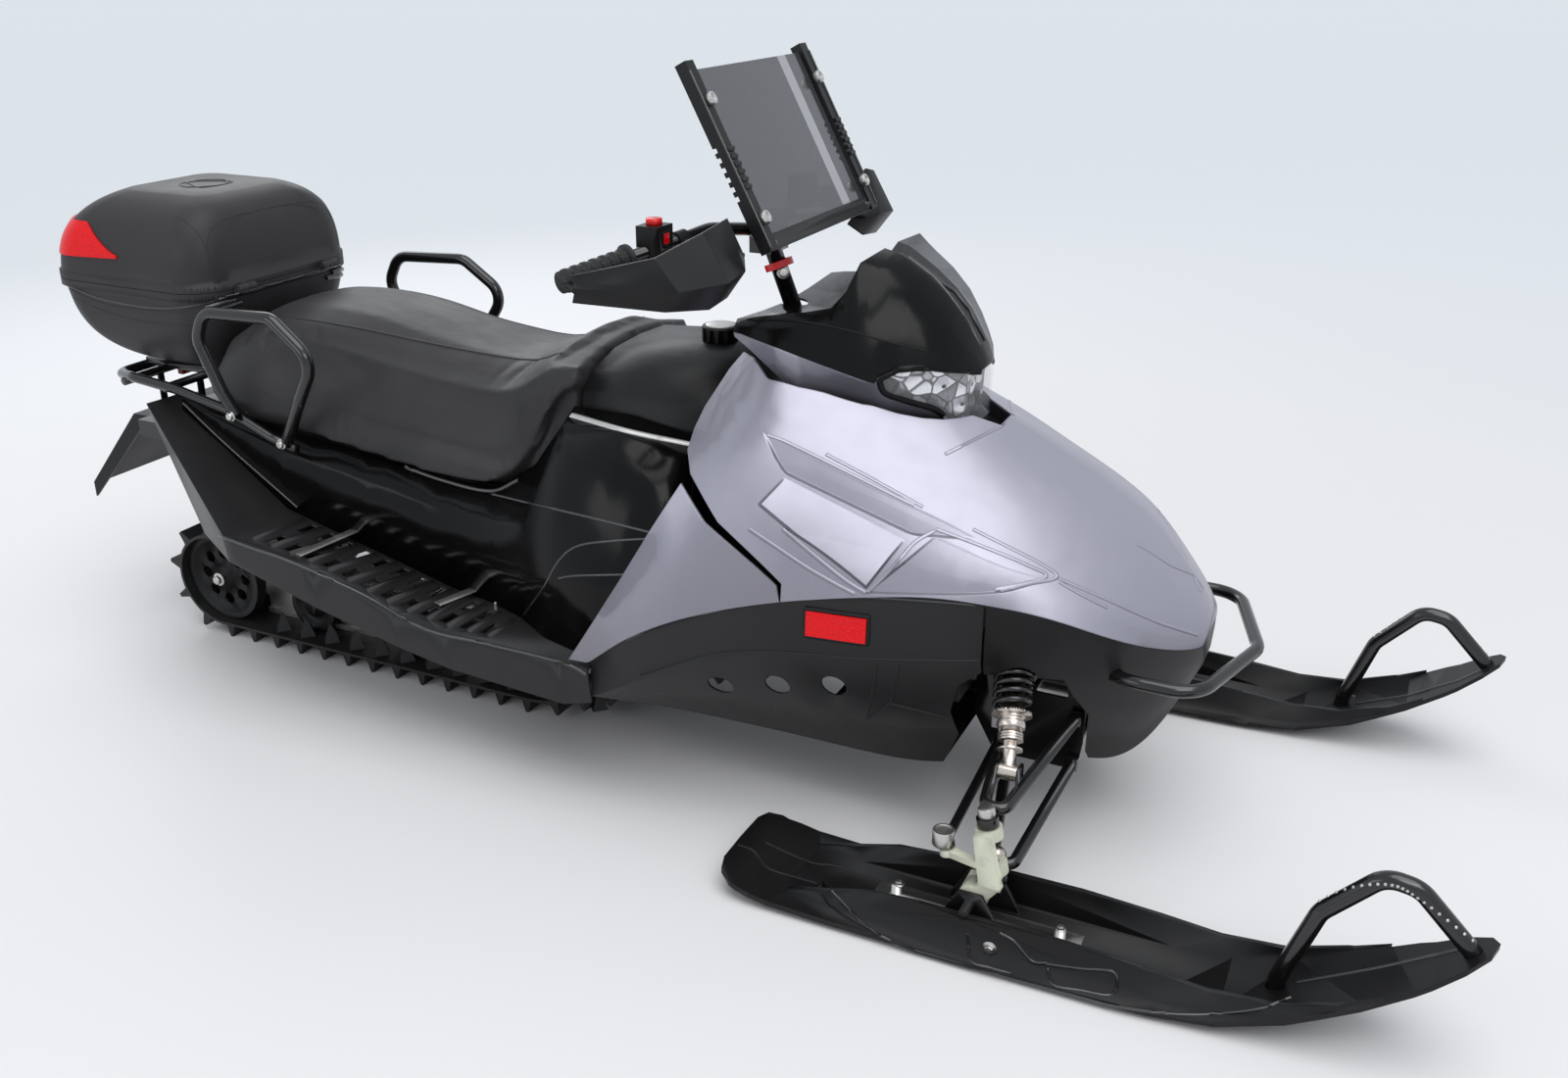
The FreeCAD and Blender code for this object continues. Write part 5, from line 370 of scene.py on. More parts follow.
class SNOW_PG_colours(bpy.types.PropertyGroup):
    """Base colours of the finishes."""

    hood: colour("Hood", (0.365, 0.357, 0.425), "Lacquer of the hood, side panels and lamp cowl")
    gloss: colour("Gloss black", (0.003, 0.003, 0.0032), "Gloss covers and screen fairing")
    satin: colour("Satin grey", (0.019, 0.019, 0.020), "Pans and running boards")
    plain: colour("Plain black", (0.0075, 0.0075, 0.008), "Plain black mouldings")
    case: colour("Case", (0.034, 0.0325, 0.035), "Top case")
    seat: colour("Seat", (0.024, 0.0235, 0.025), "Seat cover")
    rubber: colour("Rubber", (0.008, 0.008, 0.0085), "Track and grips")
    tube: colour("Tube", (0.005, 0.005, 0.0055), "Coated tubes and sheet")
    steel: colour("Steel", (0.55, 0.54, 0.52), "Plated steel and bare aluminium")
    nickel: colour("Nickel", (0.56, 0.50, 0.45), "Damper bodies")
    nylon: colour("Nylon", (0.60, 0.62, 0.50), "Ski spindles")
    glass: colour("Screen", (0.055, 0.055, 0.062), "Smoked windshield")
    red: colour("Red", (0.74, 0.004, 0.008), "Reflectors and stop switch")


class SNOW_PG_sizes(bpy.types.PropertyGroup):
    """Sizes of the surfaces, the seat cover and the springs."""

    smooth_angle: FloatProperty(name="Smooth angle", description="Edges flatter than this are shaded smooth",
                                default=math.radians(32.0), subtype="ANGLE")
    longest_edge: length("Longest edge", 0.028, "Longest edge left on the large panels")
    cover_cell: length("Cover cell", 0.0085, "Edge length of the seat cover's cloth")
    cover_lift: length("Cover lift", 0.007, "Farthest that the seat cover moves from its foam")
    coil_radius: length("Coil radius", 0.0275, "From a damper's axis to the middle of its spring's wire")
    wire_radius: length("Wire radius", 0.0048, "Radius of the damper springs' wire")


def finish_of(name):
    """The material of a record slot, made once."""
    found = bpy.data.materials.get("snow_" + name)
    if found is None:
        found = FINISHES[name](bpy.context.scene.snow_colours)
        found.name = "snow_" + name
    return found


SLOT_OF = {entry["node"]: entry["material_slot"] for entry in frame["record"]["subparts"]}
BODY_OF = {node: body for body, nodes in frame["record"]["behaviour"]["bodies"].items() for node in nodes}


def merge(mesh, outward=False):
    """Joins corners that lie on each other, and turns the faces outwards where asked."""
    form = bmesh.new()
    form.from_mesh(mesh)
    bmesh.ops.remove_doubles(form, verts=form.verts, dist=2e-6)
    if outward:
        bmesh.ops.recalc_face_normals(form, faces=form.faces)
    form.to_mesh(mesh)
    form.free()


def refine(mesh, longest):
    """Halves the edges longer than the given length, four times over, and cuts the faces into triangles."""
    form = bmesh.new()
    form.from_mesh(mesh)
    for _ in range(4):
        long_edges = [edge for edge in form.edges if edge.calc_length() > longest]
        bmesh.ops.subdivide_edges(form, edges=long_edges, cuts=1)
        bmesh.ops.triangulate(form, faces=form.faces)
    form.to_mesh(mesh)
    form.free()


def even_shading(mesh, rounds):
    """Eases the shading normals: corners that share a place and a normal move as one fan, and in each round a fan
    takes the sum of itself and of the fans at the other corners of its triangles, brought back to unit length."""
    count = len(mesh.loops)
    normals, owner = np.empty(count * 3, np.float32), np.empty(count, np.int32)
    mesh.corner_normals.foreach_get("vector", normals)
    mesh.loops.foreach_get("vertex_index", owner)
    normals = normals.reshape(-1, 3)
    rows = np.column_stack((owner, np.round(normals * 400.0)))
    _, first, fan = np.unique(rows, axis=0, return_index=True, return_inverse=True)
    fan = fan.ravel()
    field = normals[first].astype(float)
    corners = fan.reshape(-1, 3)
    start, end = corners.ravel(), np.roll(corners, -1, axis=1).ravel()
    for _ in range(rounds):
        total = field.copy()
        for axis in range(3):
            total[:, axis] += (np.bincount(start, field[end, axis], len(field))
                               + np.bincount(end, field[start, axis], len(field)))
        field = unit(total)
    mesh.normals_split_custom_set(field[fan].tolist())


# Nodes that keep their own mesh, large panels with eased shading, nodes made anew, and the rounds of easing
FLAT_NODES = ("engine_block", "tunnel", "track_suspension", "slide_rails", "drive_axle")
EVEN_NODES = ("hood", "side_panels", "screen_fairing", "lamp_cowl", "side_covers", "fuel_tank", "belly_pan",
              "nose_pan")
MADE_NODES = ("seat", "springs", "case_lamps")
EASING_ROUNDS = 60


def smooth_copy(node):
    """A node's own surface with its doubles merged and its shading smooth up to the smooth angle."""
    sizes = bpy.context.scene.snow_sizes
    mesh = NODES[node].data.copy()
    piece = bpy.data.objects.new(node + "_skin", mesh)
    bpy.context.scene.collection.objects.link(piece)
    merge(mesh)
    if node in EVEN_NODES:
        refine(mesh, sizes.longest_edge)
    mesh.shade_smooth()
    mesh.set_sharp_from_angle(angle=sizes.smooth_angle)
    if node in EVEN_NODES:
        even_shading(mesh, EASING_ROUNDS)
    mesh.materials.clear()
    mesh.materials.append(finish_of("hood_shell" if node == "hood" else SLOT_OF[node]))
    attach(piece, BODY_OF[node])
    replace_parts(piece, node)


# Shapes as whole arrays, and the surfaces they lie on


# The photograph's viewpoint: its place, its focal length in pixels and the pixel at its middle
EYE = (1.2205, -2.2394, 1.4279)
FOCAL = 1472.4
MIDDLE = (800.0, 550.0)


def view_axes(yaw, pitch, roll):
    """Right, up and ahead of the viewpoint, from its turn, its tilt down and its roll."""
    ahead = np.array((math.cos(yaw) * math.cos(pitch), math.sin(yaw) * math.cos(pitch), -math.sin(pitch)))
    level = np.cross(ahead, UP)
    level /= np.linalg.norm(level)
    over = np.cross(level, ahead)
    return (level * math.cos(roll) + over * math.sin(roll), over * math.cos(roll) - level * math.sin(roll), ahead)


VIEW_AXES = view_axes(math.radians(115.108), math.radians(22.845), math.radians(0.185))
TREES = {}


def unit(vectors):
    vectors = np.asarray(vectors, float)
    return vectors / np.linalg.norm(vectors, axis=-1, keepdims=True)


def cast(node, origin, direction):
    """The point and normal where a line from origin first meets a node or an object, or None."""
    if node not in TREES:
        mesh = NODES[node].data if isinstance(node, str) else node.data
        TREES[node] = BVHTree.FromPolygons([v.co for v in mesh.vertices], [p.vertices for p in mesh.polygons])
    place, normal, _, _ = TREES[node].ray_cast(Vector(origin), Vector(direction))
    return None if place is None else (np.array(place), np.array(normal))


def met(casts):
    """The points and the normals of the casts that met something, as two arrays."""
    found = [pair for pair in casts if pair is not None]
    return np.array([pair[0] for pair in found]), np.array([pair[1] for pair in found])


def sight(node, pixels, count=0):
    """Points and normals on a node where the view through each pixel meets it, or through each of count pixels on a
    smooth curve along them."""
    pixels = spline(pixels, count) if count else np.asarray(pixels, float)
    right, over, ahead = VIEW_AXES
    aside, down = (pixels - MIDDLE).T / FOCAL
    rays = ahead + np.outer(aside, right) - np.outer(down, over)
    return met(cast(node, EYE, ray) for ray in unit(rays))


def down_on(node, x, y):
    return cast(node, (x, y, 2.0), (0.0, 0.0, -1.0))


def side_on(node, x, z):
    return cast(node, (x, -1.5, z), (0.0, 1.0, 0.0))


def leaning(degrees):
    """The upward and the forward axis of a part that leans back by so many degrees."""
    lean = math.radians(degrees)
    return np.array((-math.sin(lean), 0.0, math.cos(lean))), np.array((math.cos(lean), 0.0, math.sin(lean)))


def spline(points, count):
    """A cubic through the points: each span blends its four nearest points by the cubic weights of its share."""
    points = np.asarray(points, float)
    padded = np.vstack((2 * points[0] - points[1], points, 2 * points[-1] - points[-2]))
    place = np.linspace(0, len(points) - 1, count)
    span = np.minimum(place.astype(int), len(points) - 2)
    t = (place - span)[:, None]
    a, b, c, d = (padded[span + k] for k in range(4))
    return 0.5 * (2 * b + (c - a) * t + (2 * a - 5 * b + 4 * c - d) * t ** 2 + (3 * b - a - 3 * c + d) * t ** 3)


def wrap(grid, ends=True):
    """Corners and faces of a surface given as rows that each close on themselves, with flat faces at its ends or
    with its last row joined to its first."""
    rows, columns = grid.shape[:2]
    index = np.arange(rows * columns).reshape(rows, columns)
    after = np.roll(index, -1, axis=1)
    quads = np.stack((index[:-1], after[:-1], after[1:], index[1:]), axis=-1).reshape(-1, 4).tolist()
    if ends:
        quads += [index[0, ::-1].tolist(), index[-1].tolist()]
    else:
        quads += np.stack((index[-1], after[-1], after[0], index[0]), axis=-1).tolist()
    return grid.reshape(-1, 3), quads


def swept(path, ring, up=UP, ends=True):
    """A profile carried along a path, or round a closed one where it has no ends: each row is the path point plus
    across times x plus over times y of the ring."""
    path = np.asarray(path, float)
    ahead = unit(np.gradient(path, axis=0))
    if not ends:
        ahead = unit(np.roll(path, -1, axis=0) - np.roll(path, 1, axis=0))
    across = unit(np.cross(ahead, np.broadcast_to(up, path.shape)))
    over = np.cross(across, ahead)
    ring = np.asarray(ring, float)
    grid = path[:, None] + across[:, None] * ring[None, :, 0:1] + over[:, None] * ring[None, :, 1:2]
    return wrap(grid, ends)


def round_ring(radius, sides=10):
    turn = np.arange(sides) * 2.0 * math.pi / sides
    return np.stack((np.cos(turn), np.sin(turn)), axis=1) * radius


def bead_ring(width, height):
    """A low bead: half an ellipse above the surface and a flat foot just below it."""
    turn = np.linspace(0.0, math.pi, 6)
    top = np.stack((np.cos(turn) * width / 2.0, np.sin(turn) * height), axis=1)
    return np.vstack((top, ((-width / 2.0, -height * 0.6), (width / 2.0, -height * 0.6))))


def turned(place, direction, profile, sides=20, flats=0):
    """A turned part: rings of the profile's radii along its axis, or with flats, rings with so many flat sides."""
    direction = unit(direction)
    spare = (1.0, 0.0, 0.0) if abs(direction[0]) < 0.8 else (0.0, 1.0, 0.0)
    side = unit(np.cross(direction, spare))
    other = np.cross(direction, side)
    turn = np.arange(sides) * 2.0 * math.pi / sides
    reach = np.ones(sides)
    if flats:
        step = 2.0 * math.pi / flats
        reach = math.cos(step / 2.0) / np.cos(np.mod(turn, step) - step / 2.0)
    ring = np.cos(turn)[:, None] * side + np.sin(turn)[:, None] * other
    profile = np.asarray(profile, float)
    along, outward = profile[:, None, 0:1] * direction, profile[:, None, 1:2] * reach[None, :, None] * ring
    grid = np.asarray(place) + along + outward
    return wrap(grid)


def pad(place, half, power=5.0, rows=13, columns=24):
    """A soft-edged block: x, y and z are signed powers of two angles' sines and cosines times the half sizes."""
    up = np.linspace(-math.pi / 2.0 + 0.02, math.pi / 2.0 - 0.02, rows)[:, None]
    turn = (np.arange(columns) * 2.0 * math.pi / columns)[None, :]
    share = 2.0 / power

    def bent(values):
        return np.sign(values) * np.abs(values) ** share

    grid = np.stack((bent(np.cos(up)) * bent(np.cos(turn)), bent(np.cos(up)) * bent(np.sin(turn)),
                     bent(np.sin(up)) * np.ones_like(turn)), axis=-1)
    return wrap(grid * np.asarray(half) + np.asarray(place))


def flipped(shapes):
    """The same shapes on the machine's other side."""
    return [(points * (1.0, -1.0, 1.0), faces) for points, faces in shapes]


def assemble(name, shapes, slot, body="chassis", smooth=40.0, finish=None):
    """One piece from several closed shapes, in its slot's finish or in another one."""
    corners, faces, start = [], [], 0
    for points, polygons in shapes:
        corners.append(points)
        faces += [[index + start for index in polygon] for polygon in polygons]
        start += len(points)
    mesh = bpy.data.meshes.new(name)
    mesh.from_pydata(np.vstack(corners).tolist(), [], faces)
    merge(mesh, True)
    mesh.shade_smooth()
    mesh.set_sharp_from_angle(angle=math.radians(smooth))
    mesh.materials.append(finish_of(finish or slot))
    piece = bpy.data.objects.new(name, mesh)
    bpy.context.scene.collection.objects.link(piece)
    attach(piece, body)
    return piece


def both_sides(name, shapes, slot, body="chassis", **options):
    """One piece for both sides of the machine, or where each side has its own body, a right and a left one."""
    if "right" not in body:
        return assemble(name, shapes + flipped(shapes), slot, body, **options)
    assemble(name + "_right", shapes, slot, body, **options)
    return assemble(name + "_left", flipped(shapes), slot, body.replace("right", "left"), **options)


def bolt(place, direction, r, flats=6):
    """A washer and a head of radius r, nut-sided or round, with a crowned top."""
    head = [(0.0, r), (r * 0.75, r), (r * 0.95, r * 0.84), (r, r * 0.3)]
    washer = [(-0.001, r * 1.35), (r * 0.12, r * 1.4), (r * 0.2, r * 1.25), (r * 0.2, r * 0.5)]
    return [turned(place, direction, washer), turned(place, direction, head, 24 if flats else 20, flats)]


def line_on(node, pixels, width, height):
    """A bead along a curve of pixels on a node's surface."""
    points, normals = sight(node, pixels, 36)
    return swept(points, bead_ring(width, height), normals)


def places(mesh):
    """The corners of a mesh, one row each."""
    values = np.empty(len(mesh.vertices) * 3)
    mesh.vertices.foreach_get("co", values)
    return values.reshape(-1, 3)


def settle(piece):
    """Puts the shape that a piece has under its modifiers in place of its mesh."""
    piece.data = bpy.data.meshes.new_from_object(piece.evaluated_get(bpy.context.evaluated_depsgraph_get()))
    piece.modifiers.clear()


# The seat cover: the height below which it is held, its inner pressure and the length of its simulation
SEAT_FOOT = 0.53
COVER_PRESSURE = 4.0
COVER_FRAMES = 20


def blow_up(piece, sizes):
    """Gives a piece even cells, swells it as cloth over its held foot, caps its way and makes its mesh finer."""
    scene = bpy.context.scene
    remesh = piece.modifiers.new("even", "REMESH")
    remesh.mode = "VOXEL"
    remesh.voxel_size = sizes.cover_cell
    settle(piece)
    start = places(piece.data)
    held = piece.vertex_groups.new(name="held")
    held.add(np.flatnonzero(start[:, 2] < SEAT_FOOT).tolist(), 1.0, "REPLACE")
    cloth = piece.modifiers.new("cover", "CLOTH")
    cloth.settings.use_pressure = True
    cloth.settings.uniform_pressure_force = COVER_PRESSURE
    cloth.settings.vertex_group_mass = "held"
    cloth.settings.effector_weights.gravity = 0.0
    for moment in range(COVER_FRAMES):
        scene.frame_set(moment + 1)
    blown = piece.evaluated_get(bpy.context.evaluated_depsgraph_get()).to_mesh()
    move = places(blown) - start
    piece.modifiers.clear()
    scene.frame_set(1)
    way = np.maximum(np.linalg.norm(move, axis=1, keepdims=True), 1e-9)
    start += move * np.minimum(1.0, sizes.cover_lift / way)
    piece.data.vertices.foreach_set("co", start.ravel())
    finer = piece.modifiers.new("finer", "SUBSURF")
    finer.levels = finer.render_levels = 1
    settle(piece)
    piece.vertex_groups.clear()


class SNOW_OT_seat(bpy.types.Operator):
    """Blows the seat's cover up over its foam, then lays the welt along its edge."""

    bl_idname = "snow.seat"
    bl_label = "Seat cover"

    def execute(self, context):
        mesh = NODES["seat"].data.copy()
        merge(mesh)
        piece = bpy.data.objects.new("seat_cover", mesh)
        context.scene.collection.objects.link(piece)
        blow_up(piece, context.scene.snow_sizes)
        piece.data.shade_smooth()
        piece.data.materials.clear()
        piece.data.materials.append(finish_of("seat_leather"))
        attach(piece, "chassis")
        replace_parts(piece, "seat")
        along = np.linspace(-0.955, -0.20, 60)
        points, normals = met(cast(piece, (x, -0.52, 1.02), (0.0, 0.60, -0.46)) for x in along)
        both_sides("seat_welts", [swept(points, bead_ring(0.005, 0.0018), normals)], SLOT_OF["seat"])
        return {"FINISHED"}


# The near damper's ends, the turns of its spring, and where rings lie along it
DAMPER_FOOT = np.array((0.7212, -0.350, 0.2270))
DAMPER_TOP = np.array((0.666, -0.160, 0.426))
COIL_TURNS = 9.5
RING_SHARES = (0.12, 0.175, 0.19, 0.205)

# Turned profiles: rows of the place along the axis and the radius there
PROFILES = {
    "damper_collar": ((0.0, 0.012), (0.0, 0.0215), (0.003, 0.0228), (0.010, 0.0228), (0.012, 0.0208),
                      (0.015, 0.0208), (0.017, 0.0228), (0.0225, 0.0228), (0.0245, 0.021), (0.0245, 0.012)),
    "damper_ring": ((0.0, 0.012), (0.0, 0.0202), (0.0018, 0.0205), (0.0036, 0.0202), (0.0036, 0.012)),
    "arm_cap": ((0.0, 0.0), (0.0, 0.0125), (0.003, 0.0138), (0.012, 0.0138), (0.0155, 0.0122), (0.017, 0.008),
                (0.0165, 0.004)),
    "tie_cap": ((0.0, 0.009), (0.003, 0.0095), (0.006, 0.0085), (0.007, 0.004)),
    "tooth": ((0.0, 0.022), (0.004, 0.020), (0.034, 0.005), (0.038, 0.002)),
    "stud": ((0.0, 0.0026), (0.0014, 0.0022), (0.0020, 0.0010)),
    "barrel": ((0.0, 0.010), (0.0, 0.0165), (0.002, 0.0175), (0.024, 0.0175), (0.026, 0.0165), (0.026, 0.0125),
               (0.0248, 0.012), (0.0248, 0.002)),
    "cable_nut": ((0.0, 0.004), (0.0, 0.0062), (0.008, 0.0062), (0.009, 0.0045), (0.018, 0.0045), (0.019, 0.003)),
    "cable_boot": ((0.0, 0.003), (0.0, 0.0072), (0.006, 0.0076), (0.009, 0.0062), (0.013, 0.0072),
                   (0.017, 0.0058), (0.021, 0.0066), (0.026, 0.0050), (0.034, 0.0042), (0.036, 0.002)),
    "screen_knob": ((0.0, 0.006), (0.0, 0.0105), (0.003, 0.0115), (0.007, 0.0112), (0.010, 0.0098),
                    (0.0105, 0.0062), (0.0085, 0.0055), (0.0085, 0.002)),
    "board_pin": ((0.0, 0.0048), (0.0015, 0.0044), (0.012, 0.0034), (0.0132, 0.0015)),
    "cap_disc": ((0.0, 0.010), (0.0, 0.0262), (0.0012, 0.0268), (0.002, 0.0258), (0.0022, 0.006)),
}


class SNOW_OT_springs(bpy.types.Operator):
    """Winds the damper springs of round wire and turns the damper collars."""

    bl_idname = "snow.springs"
    bl_label = "Springs"

    def execute(self, context):
        sizes = context.scene.snow_sizes
        run = DAMPER_TOP - DAMPER_FOOT
        ahead = unit(run)
        side = unit(np.cross(ahead, (1.0, 0.0, 0.0)))
        other = np.cross(ahead, side)
        share = np.linspace(0.0, 1.0, 420)
        climb = share + 0.016 * np.sin(2.0 * math.pi * share)
        turn = share * 2.0 * math.pi * COIL_TURNS
        first = DAMPER_FOOT + run * 0.345 + ahead * 0.005
        height = np.linalg.norm(run) * 0.53 - 0.010
        spin = np.cos(turn)[:, None] * side + np.sin(turn)[:, None] * other
        coil = first + ahead * (climb * height)[:, None] + spin * sizes.coil_radius
        springs = [swept(coil, round_ring(sizes.wire_radius), spin)]
        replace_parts(both_sides("spring_coils", springs, SLOT_OF["springs"], smooth=80.0), "springs")
        rings = [turned(DAMPER_FOOT + run * 0.245, ahead, PROFILES["damper_collar"], 32)]
        rings += [turned(DAMPER_FOOT + run * part, ahead, PROFILES["damper_ring"], 32) for part in RING_SHARES]
        both_sides("damper_collars", rings, "nickel")
        return {"FINISHED"}


def enlarged(scale, *corner):
    """Turns pixels measured on an enlarged part of the picture into pixels of the whole picture."""
    return lambda points: np.asarray(points, float) * scale + corner


rear_view = enlarged(0.26667, 20.0, 120.0)
front_view = enlarged(0.32667, 640.0, 540.0)
lamp_view = enlarged(1.0 / 3.436, 700.0, 200.0)
middle_view = enlarged(0.385714, 180.0, 380.0)
ski_view = enlarged(0.571429, 760.0, 760.0)
whole_view = enlarged(1.0, 0.0, 0.0)

# Beads: the piece, its node, body and finish, the view its curves are measured in, width, height and the curves
EDGES = (
    ("fairing_edges", "screen_fairing", "chassis", "edge_black", whole_view, 0.006, 0.0022,
     (((928, 262), (956, 286), (984, 322), (1000, 352)),)),
    ("seat_base_edges", "side_covers", "chassis", "edge_black", middle_view, 0.008, 0.004,
     (((130, 92), (340, 147), (560, 232), (700, 284), (830, 314), (905, 285)),)),
    ("cover_edges", "side_covers", "chassis", "edge_black", middle_view, 0.0045, 0.0016,
     (((835, 322), (950, 350), (1100, 385), (1260, 425)),
      ((920, 640), (970, 570), (1010, 500), (1060, 460), (1150, 446), (1250, 440)),
      ((1010, 545), (1060, 538), (1190, 535)))),
    ("wall_edges", "side_covers", "chassis", "edge_black", middle_view, 0.005, 0.0018,
     (((10, 75), (130, 190), (320, 358)),)),
    ("board_edges", "running_boards", "chassis", "edge_black", middle_view, 0.006, 0.0022,
     (((112, 432), (200, 465), (300, 500), (500, 590), (660, 680), (830, 720), (1040, 775), (1125, 840)),)),
    ("ski_edges", "ski_right", "ski_right", "edge_black", ski_view, 0.005, 0.0018,
     (((140, 245), (240, 340), (400, 400), (600, 455), (760, 480), (900, 475), (975, 450)),
      ((985, 424), (1130, 398), (1290, 362)),
      ((540, 392), (600, 400), (660, 407), (656, 445), (600, 438), (550, 427), (540, 392)),
      ((398, 336), (404, 384), (440, 398), (476, 408)), ((455, 336), (482, 352), (512, 386), (540, 390)))),
    ("case_hinges", "case_tub", "chassis", "edge_black", rear_view, 0.012, 0.006,
     (((712, 728), (765, 712), (822, 697)), ((1172, 612), (1215, 603), (1258, 594)))),
    ("case_rim_line", "case_tub", "chassis", "edge_black", rear_view, 0.004, 0.0012,
     (((178, 640), (300, 690), (430, 718), (560, 730), (690, 715), (900, 655), (1150, 590), (1262, 548)),)),
    ("pan_edges", "belly_pan", "chassis", "edge_black", front_view, 0.005, 0.0018,
     (((0, 345), (120, 292), (250, 262), (460, 222), (700, 212), (900, 222), (1120, 240)),)),
)

SEAMS = (
    ("case_lid_seams", "case_lid", "case_lid", "case_plastic", rear_view, 0.0022, 0.0007,
     (((745, 612), (728, 560), (718, 500), (722, 450), (745, 415), (800, 385), (900, 355), (1020, 333),
       (1100, 338), (1138, 355)),
      ((600, 375), (650, 410), (690, 455), (716, 500)))),
    ("case_latch", "case_lid", "case_lid", "case_plastic", rear_view, 0.0045, 0.0018,
     (((640, 250), (690, 268), (770, 258), (795, 245), (775, 238), (690, 240), (640, 250)),)),
    ("case_tub_lines", "case_tub", "chassis", "case_plastic", rear_view, 0.004, 0.0012,
     (((190, 655), (300, 707), (450, 735), (600, 742), (690, 718)),
      ((208, 692), (320, 742), (440, 775), (560, 792), (665, 790)))),
    ("hood_lines", "hood", "chassis", "hood_paint", front_view, 0.0065, 0.0012,
     (((1080, 0), (1200, 60), (1300, 112), (1342, 150), (1250, 172), (1165, 194)),
      ((965, 0), (1100, 50), (1250, 112), (1306, 150), (1150, 190)),
      ((960, 5), (900, 40), (850, 95), (800, 150), (750, 198)),
      ((485, 0), (580, 80), (680, 160), (745, 200)),
      ((380, 0), (470, 60), (560, 120), (650, 172), (710, 203)),
      ((1350, 165), (1420, 205), (1500, 245)))),
    ("hood_upper_lines", "hood", "chassis", "hood_paint", lamp_view, 0.0065, 0.0012,
     (((285, 838), (350, 862), (500, 935), (650, 1010), (800, 1085)), ((490, 905), (640, 985), (830, 1090)),
      ((910, 905), (1000, 860), (1120, 800)))),
    ("hood_nose_lines", "hood", "chassis", "hood_paint", whole_view, 0.0065, 0.0012,
     (((1080, 590), (1130, 612), (1180, 634), (1222, 648)),
      ((1050, 412), (1110, 446), (1160, 492), (1200, 548), (1226, 604)))),
    ("pan_lines", "belly_pan", "chassis", "satin_grey", front_view, 0.004, 0.0012,
     (((40, 330), (250, 268), (460, 228), (700, 218), (900, 226), (1120, 243)),
      ((40, 462), (250, 398), (400, 384), (560, 390), (700, 403), (900, 410), (1100, 412)),
      ((780, 424), (768, 500), (750, 592)), ((850, 426), (836, 480), (818, 545), (755, 590)),
      ((820, 545), (900, 565), (1000, 590)))),
    ("ski_lines", "ski_right", "ski_right", "black_plastic", front_view, 0.005, 0.0018,
     (((432, 978), (500, 1010), (580, 1042), (630, 1048), (690, 1056)),
      ((345, 985), (395, 1005), (440, 1058), (520, 1085), (600, 1108)),
      ((592, 1102), (640, 1180), (750, 1252), (900, 1318), (1050, 1362), (1200, 1392)))),
    ("cowl_lines", "screen_fairing", "chassis", "gloss_black", lamp_view, 0.003, 0.001,
     (((215, 432), (400, 440), (560, 470), (720, 515), (860, 548)),)),
    ("lamp_bezel", "headlamp_lens", "chassis", "gloss_black", lamp_view, 0.011, 0.002,
     (((676, 642), (742, 612), (820, 604), (920, 614), (1035, 616)),
      ((676, 642), (696, 690), (764, 716), (880, 752), (925, 800)))),
)


class SNOW_OT_seams(bpy.types.Operator):
    """Lays the moulded lines, seams, edges and bezels on the body parts, and the strips beside the tank."""

    bl_idname = "snow.seams"
    bl_label = "Seams and bezels"

    def execute(self, context):
        for name, node, body, finish, view, width, height, lines in SEAMS + EDGES:
            slot = "gloss_black" if finish == "edge_black" else finish
            shapes = [line_on(node, view(line), width, height) for line in lines]
            both_sides(name, shapes, slot, body, finish=finish)
        points, normals = sight("side_covers", middle_view([(1045, 112), (1200, 156), (1385, 194)]), 24)
        both_sides("tank_strips", [swept(points, bead_ring(0.012, 0.002), normals)], "aluminium")
        return {"FINISHED"}


# The skis' distance from the middle, and how many degrees the kingpins, the screen and the stem lean back
SKI_LINE = 0.450
KING_LEAN = 11.0
SCREEN_LEAN = 28.0
STEM_LEAN = 22.0


class SNOW_OT_bolts(bpy.types.Operator):
    """Bolts of the grab handles and the skis, and the caps of the kingpins and of the tie rods' joints."""

    bl_idname = "snow.bolts"
    bl_label = "Bolts and caps"

    def execute(self, context):
        feet = []
        for x, z in ((-0.878, 0.560), (-0.760, 0.520)):
            place, _ = side_on("grab_handles", x, z)
            feet += bolt(place + (0.0, 0.001, 0.0), (0.0, -1.0, 0.0), 0.0075, 0)
        king, _ = leaning(KING_LEAN)
        eye = np.array((0.738, -SKI_LINE, 0.112)) + king * 0.0955
        feet.append(turned(eye, king, PROFILES["arm_cap"], 28))
        both_sides("arm_caps", feet, "bright_steel")
        place, normal = sight("ski_right", [(1009.8, 967.3)])
        for side, way in (("right", 1.0), ("left", -1.0)):
            y = -way * SKI_LINE
            heads = bolt(place[0] * (1.0, way, 1.0), normal[0] * (1.0, way, 1.0), 0.008)
            for x in (0.585, 0.845):
                top, _ = down_on("ski_plate_" + side, x, y)
                heads += bolt(top, UP, 0.006)
            assemble("ski_bolts_" + side, heads, "bright_steel", "ski_" + side)
            joint = cast("tie_rods", (0.6583, y, 1.0), (0.0, 0.0, -1.0))
            if joint is not None:
                cap = turned(joint[0] - (0.0, 0.0, 0.001), UP, PROFILES["tie_cap"], 24)
                assemble("tie_cap_" + side, [cap], "bright_steel", "tie_rods")
        return {"FINISHED"}


def post(place, r, h):
    """A round post of radius r and height h, with a foot flange and a hole in its top."""
    profile = [(0.0, r * 1.3), (0.003, r * 1.3), (0.005, r), (h - 0.002, r), (h, r * 0.85), (h, r * 0.5),
               (h - 0.006, r * 0.45), (h - 0.006, r * 0.1)]
    return turned((place[0], -SKI_LINE, place[2] - 0.001), UP, profile, 24)


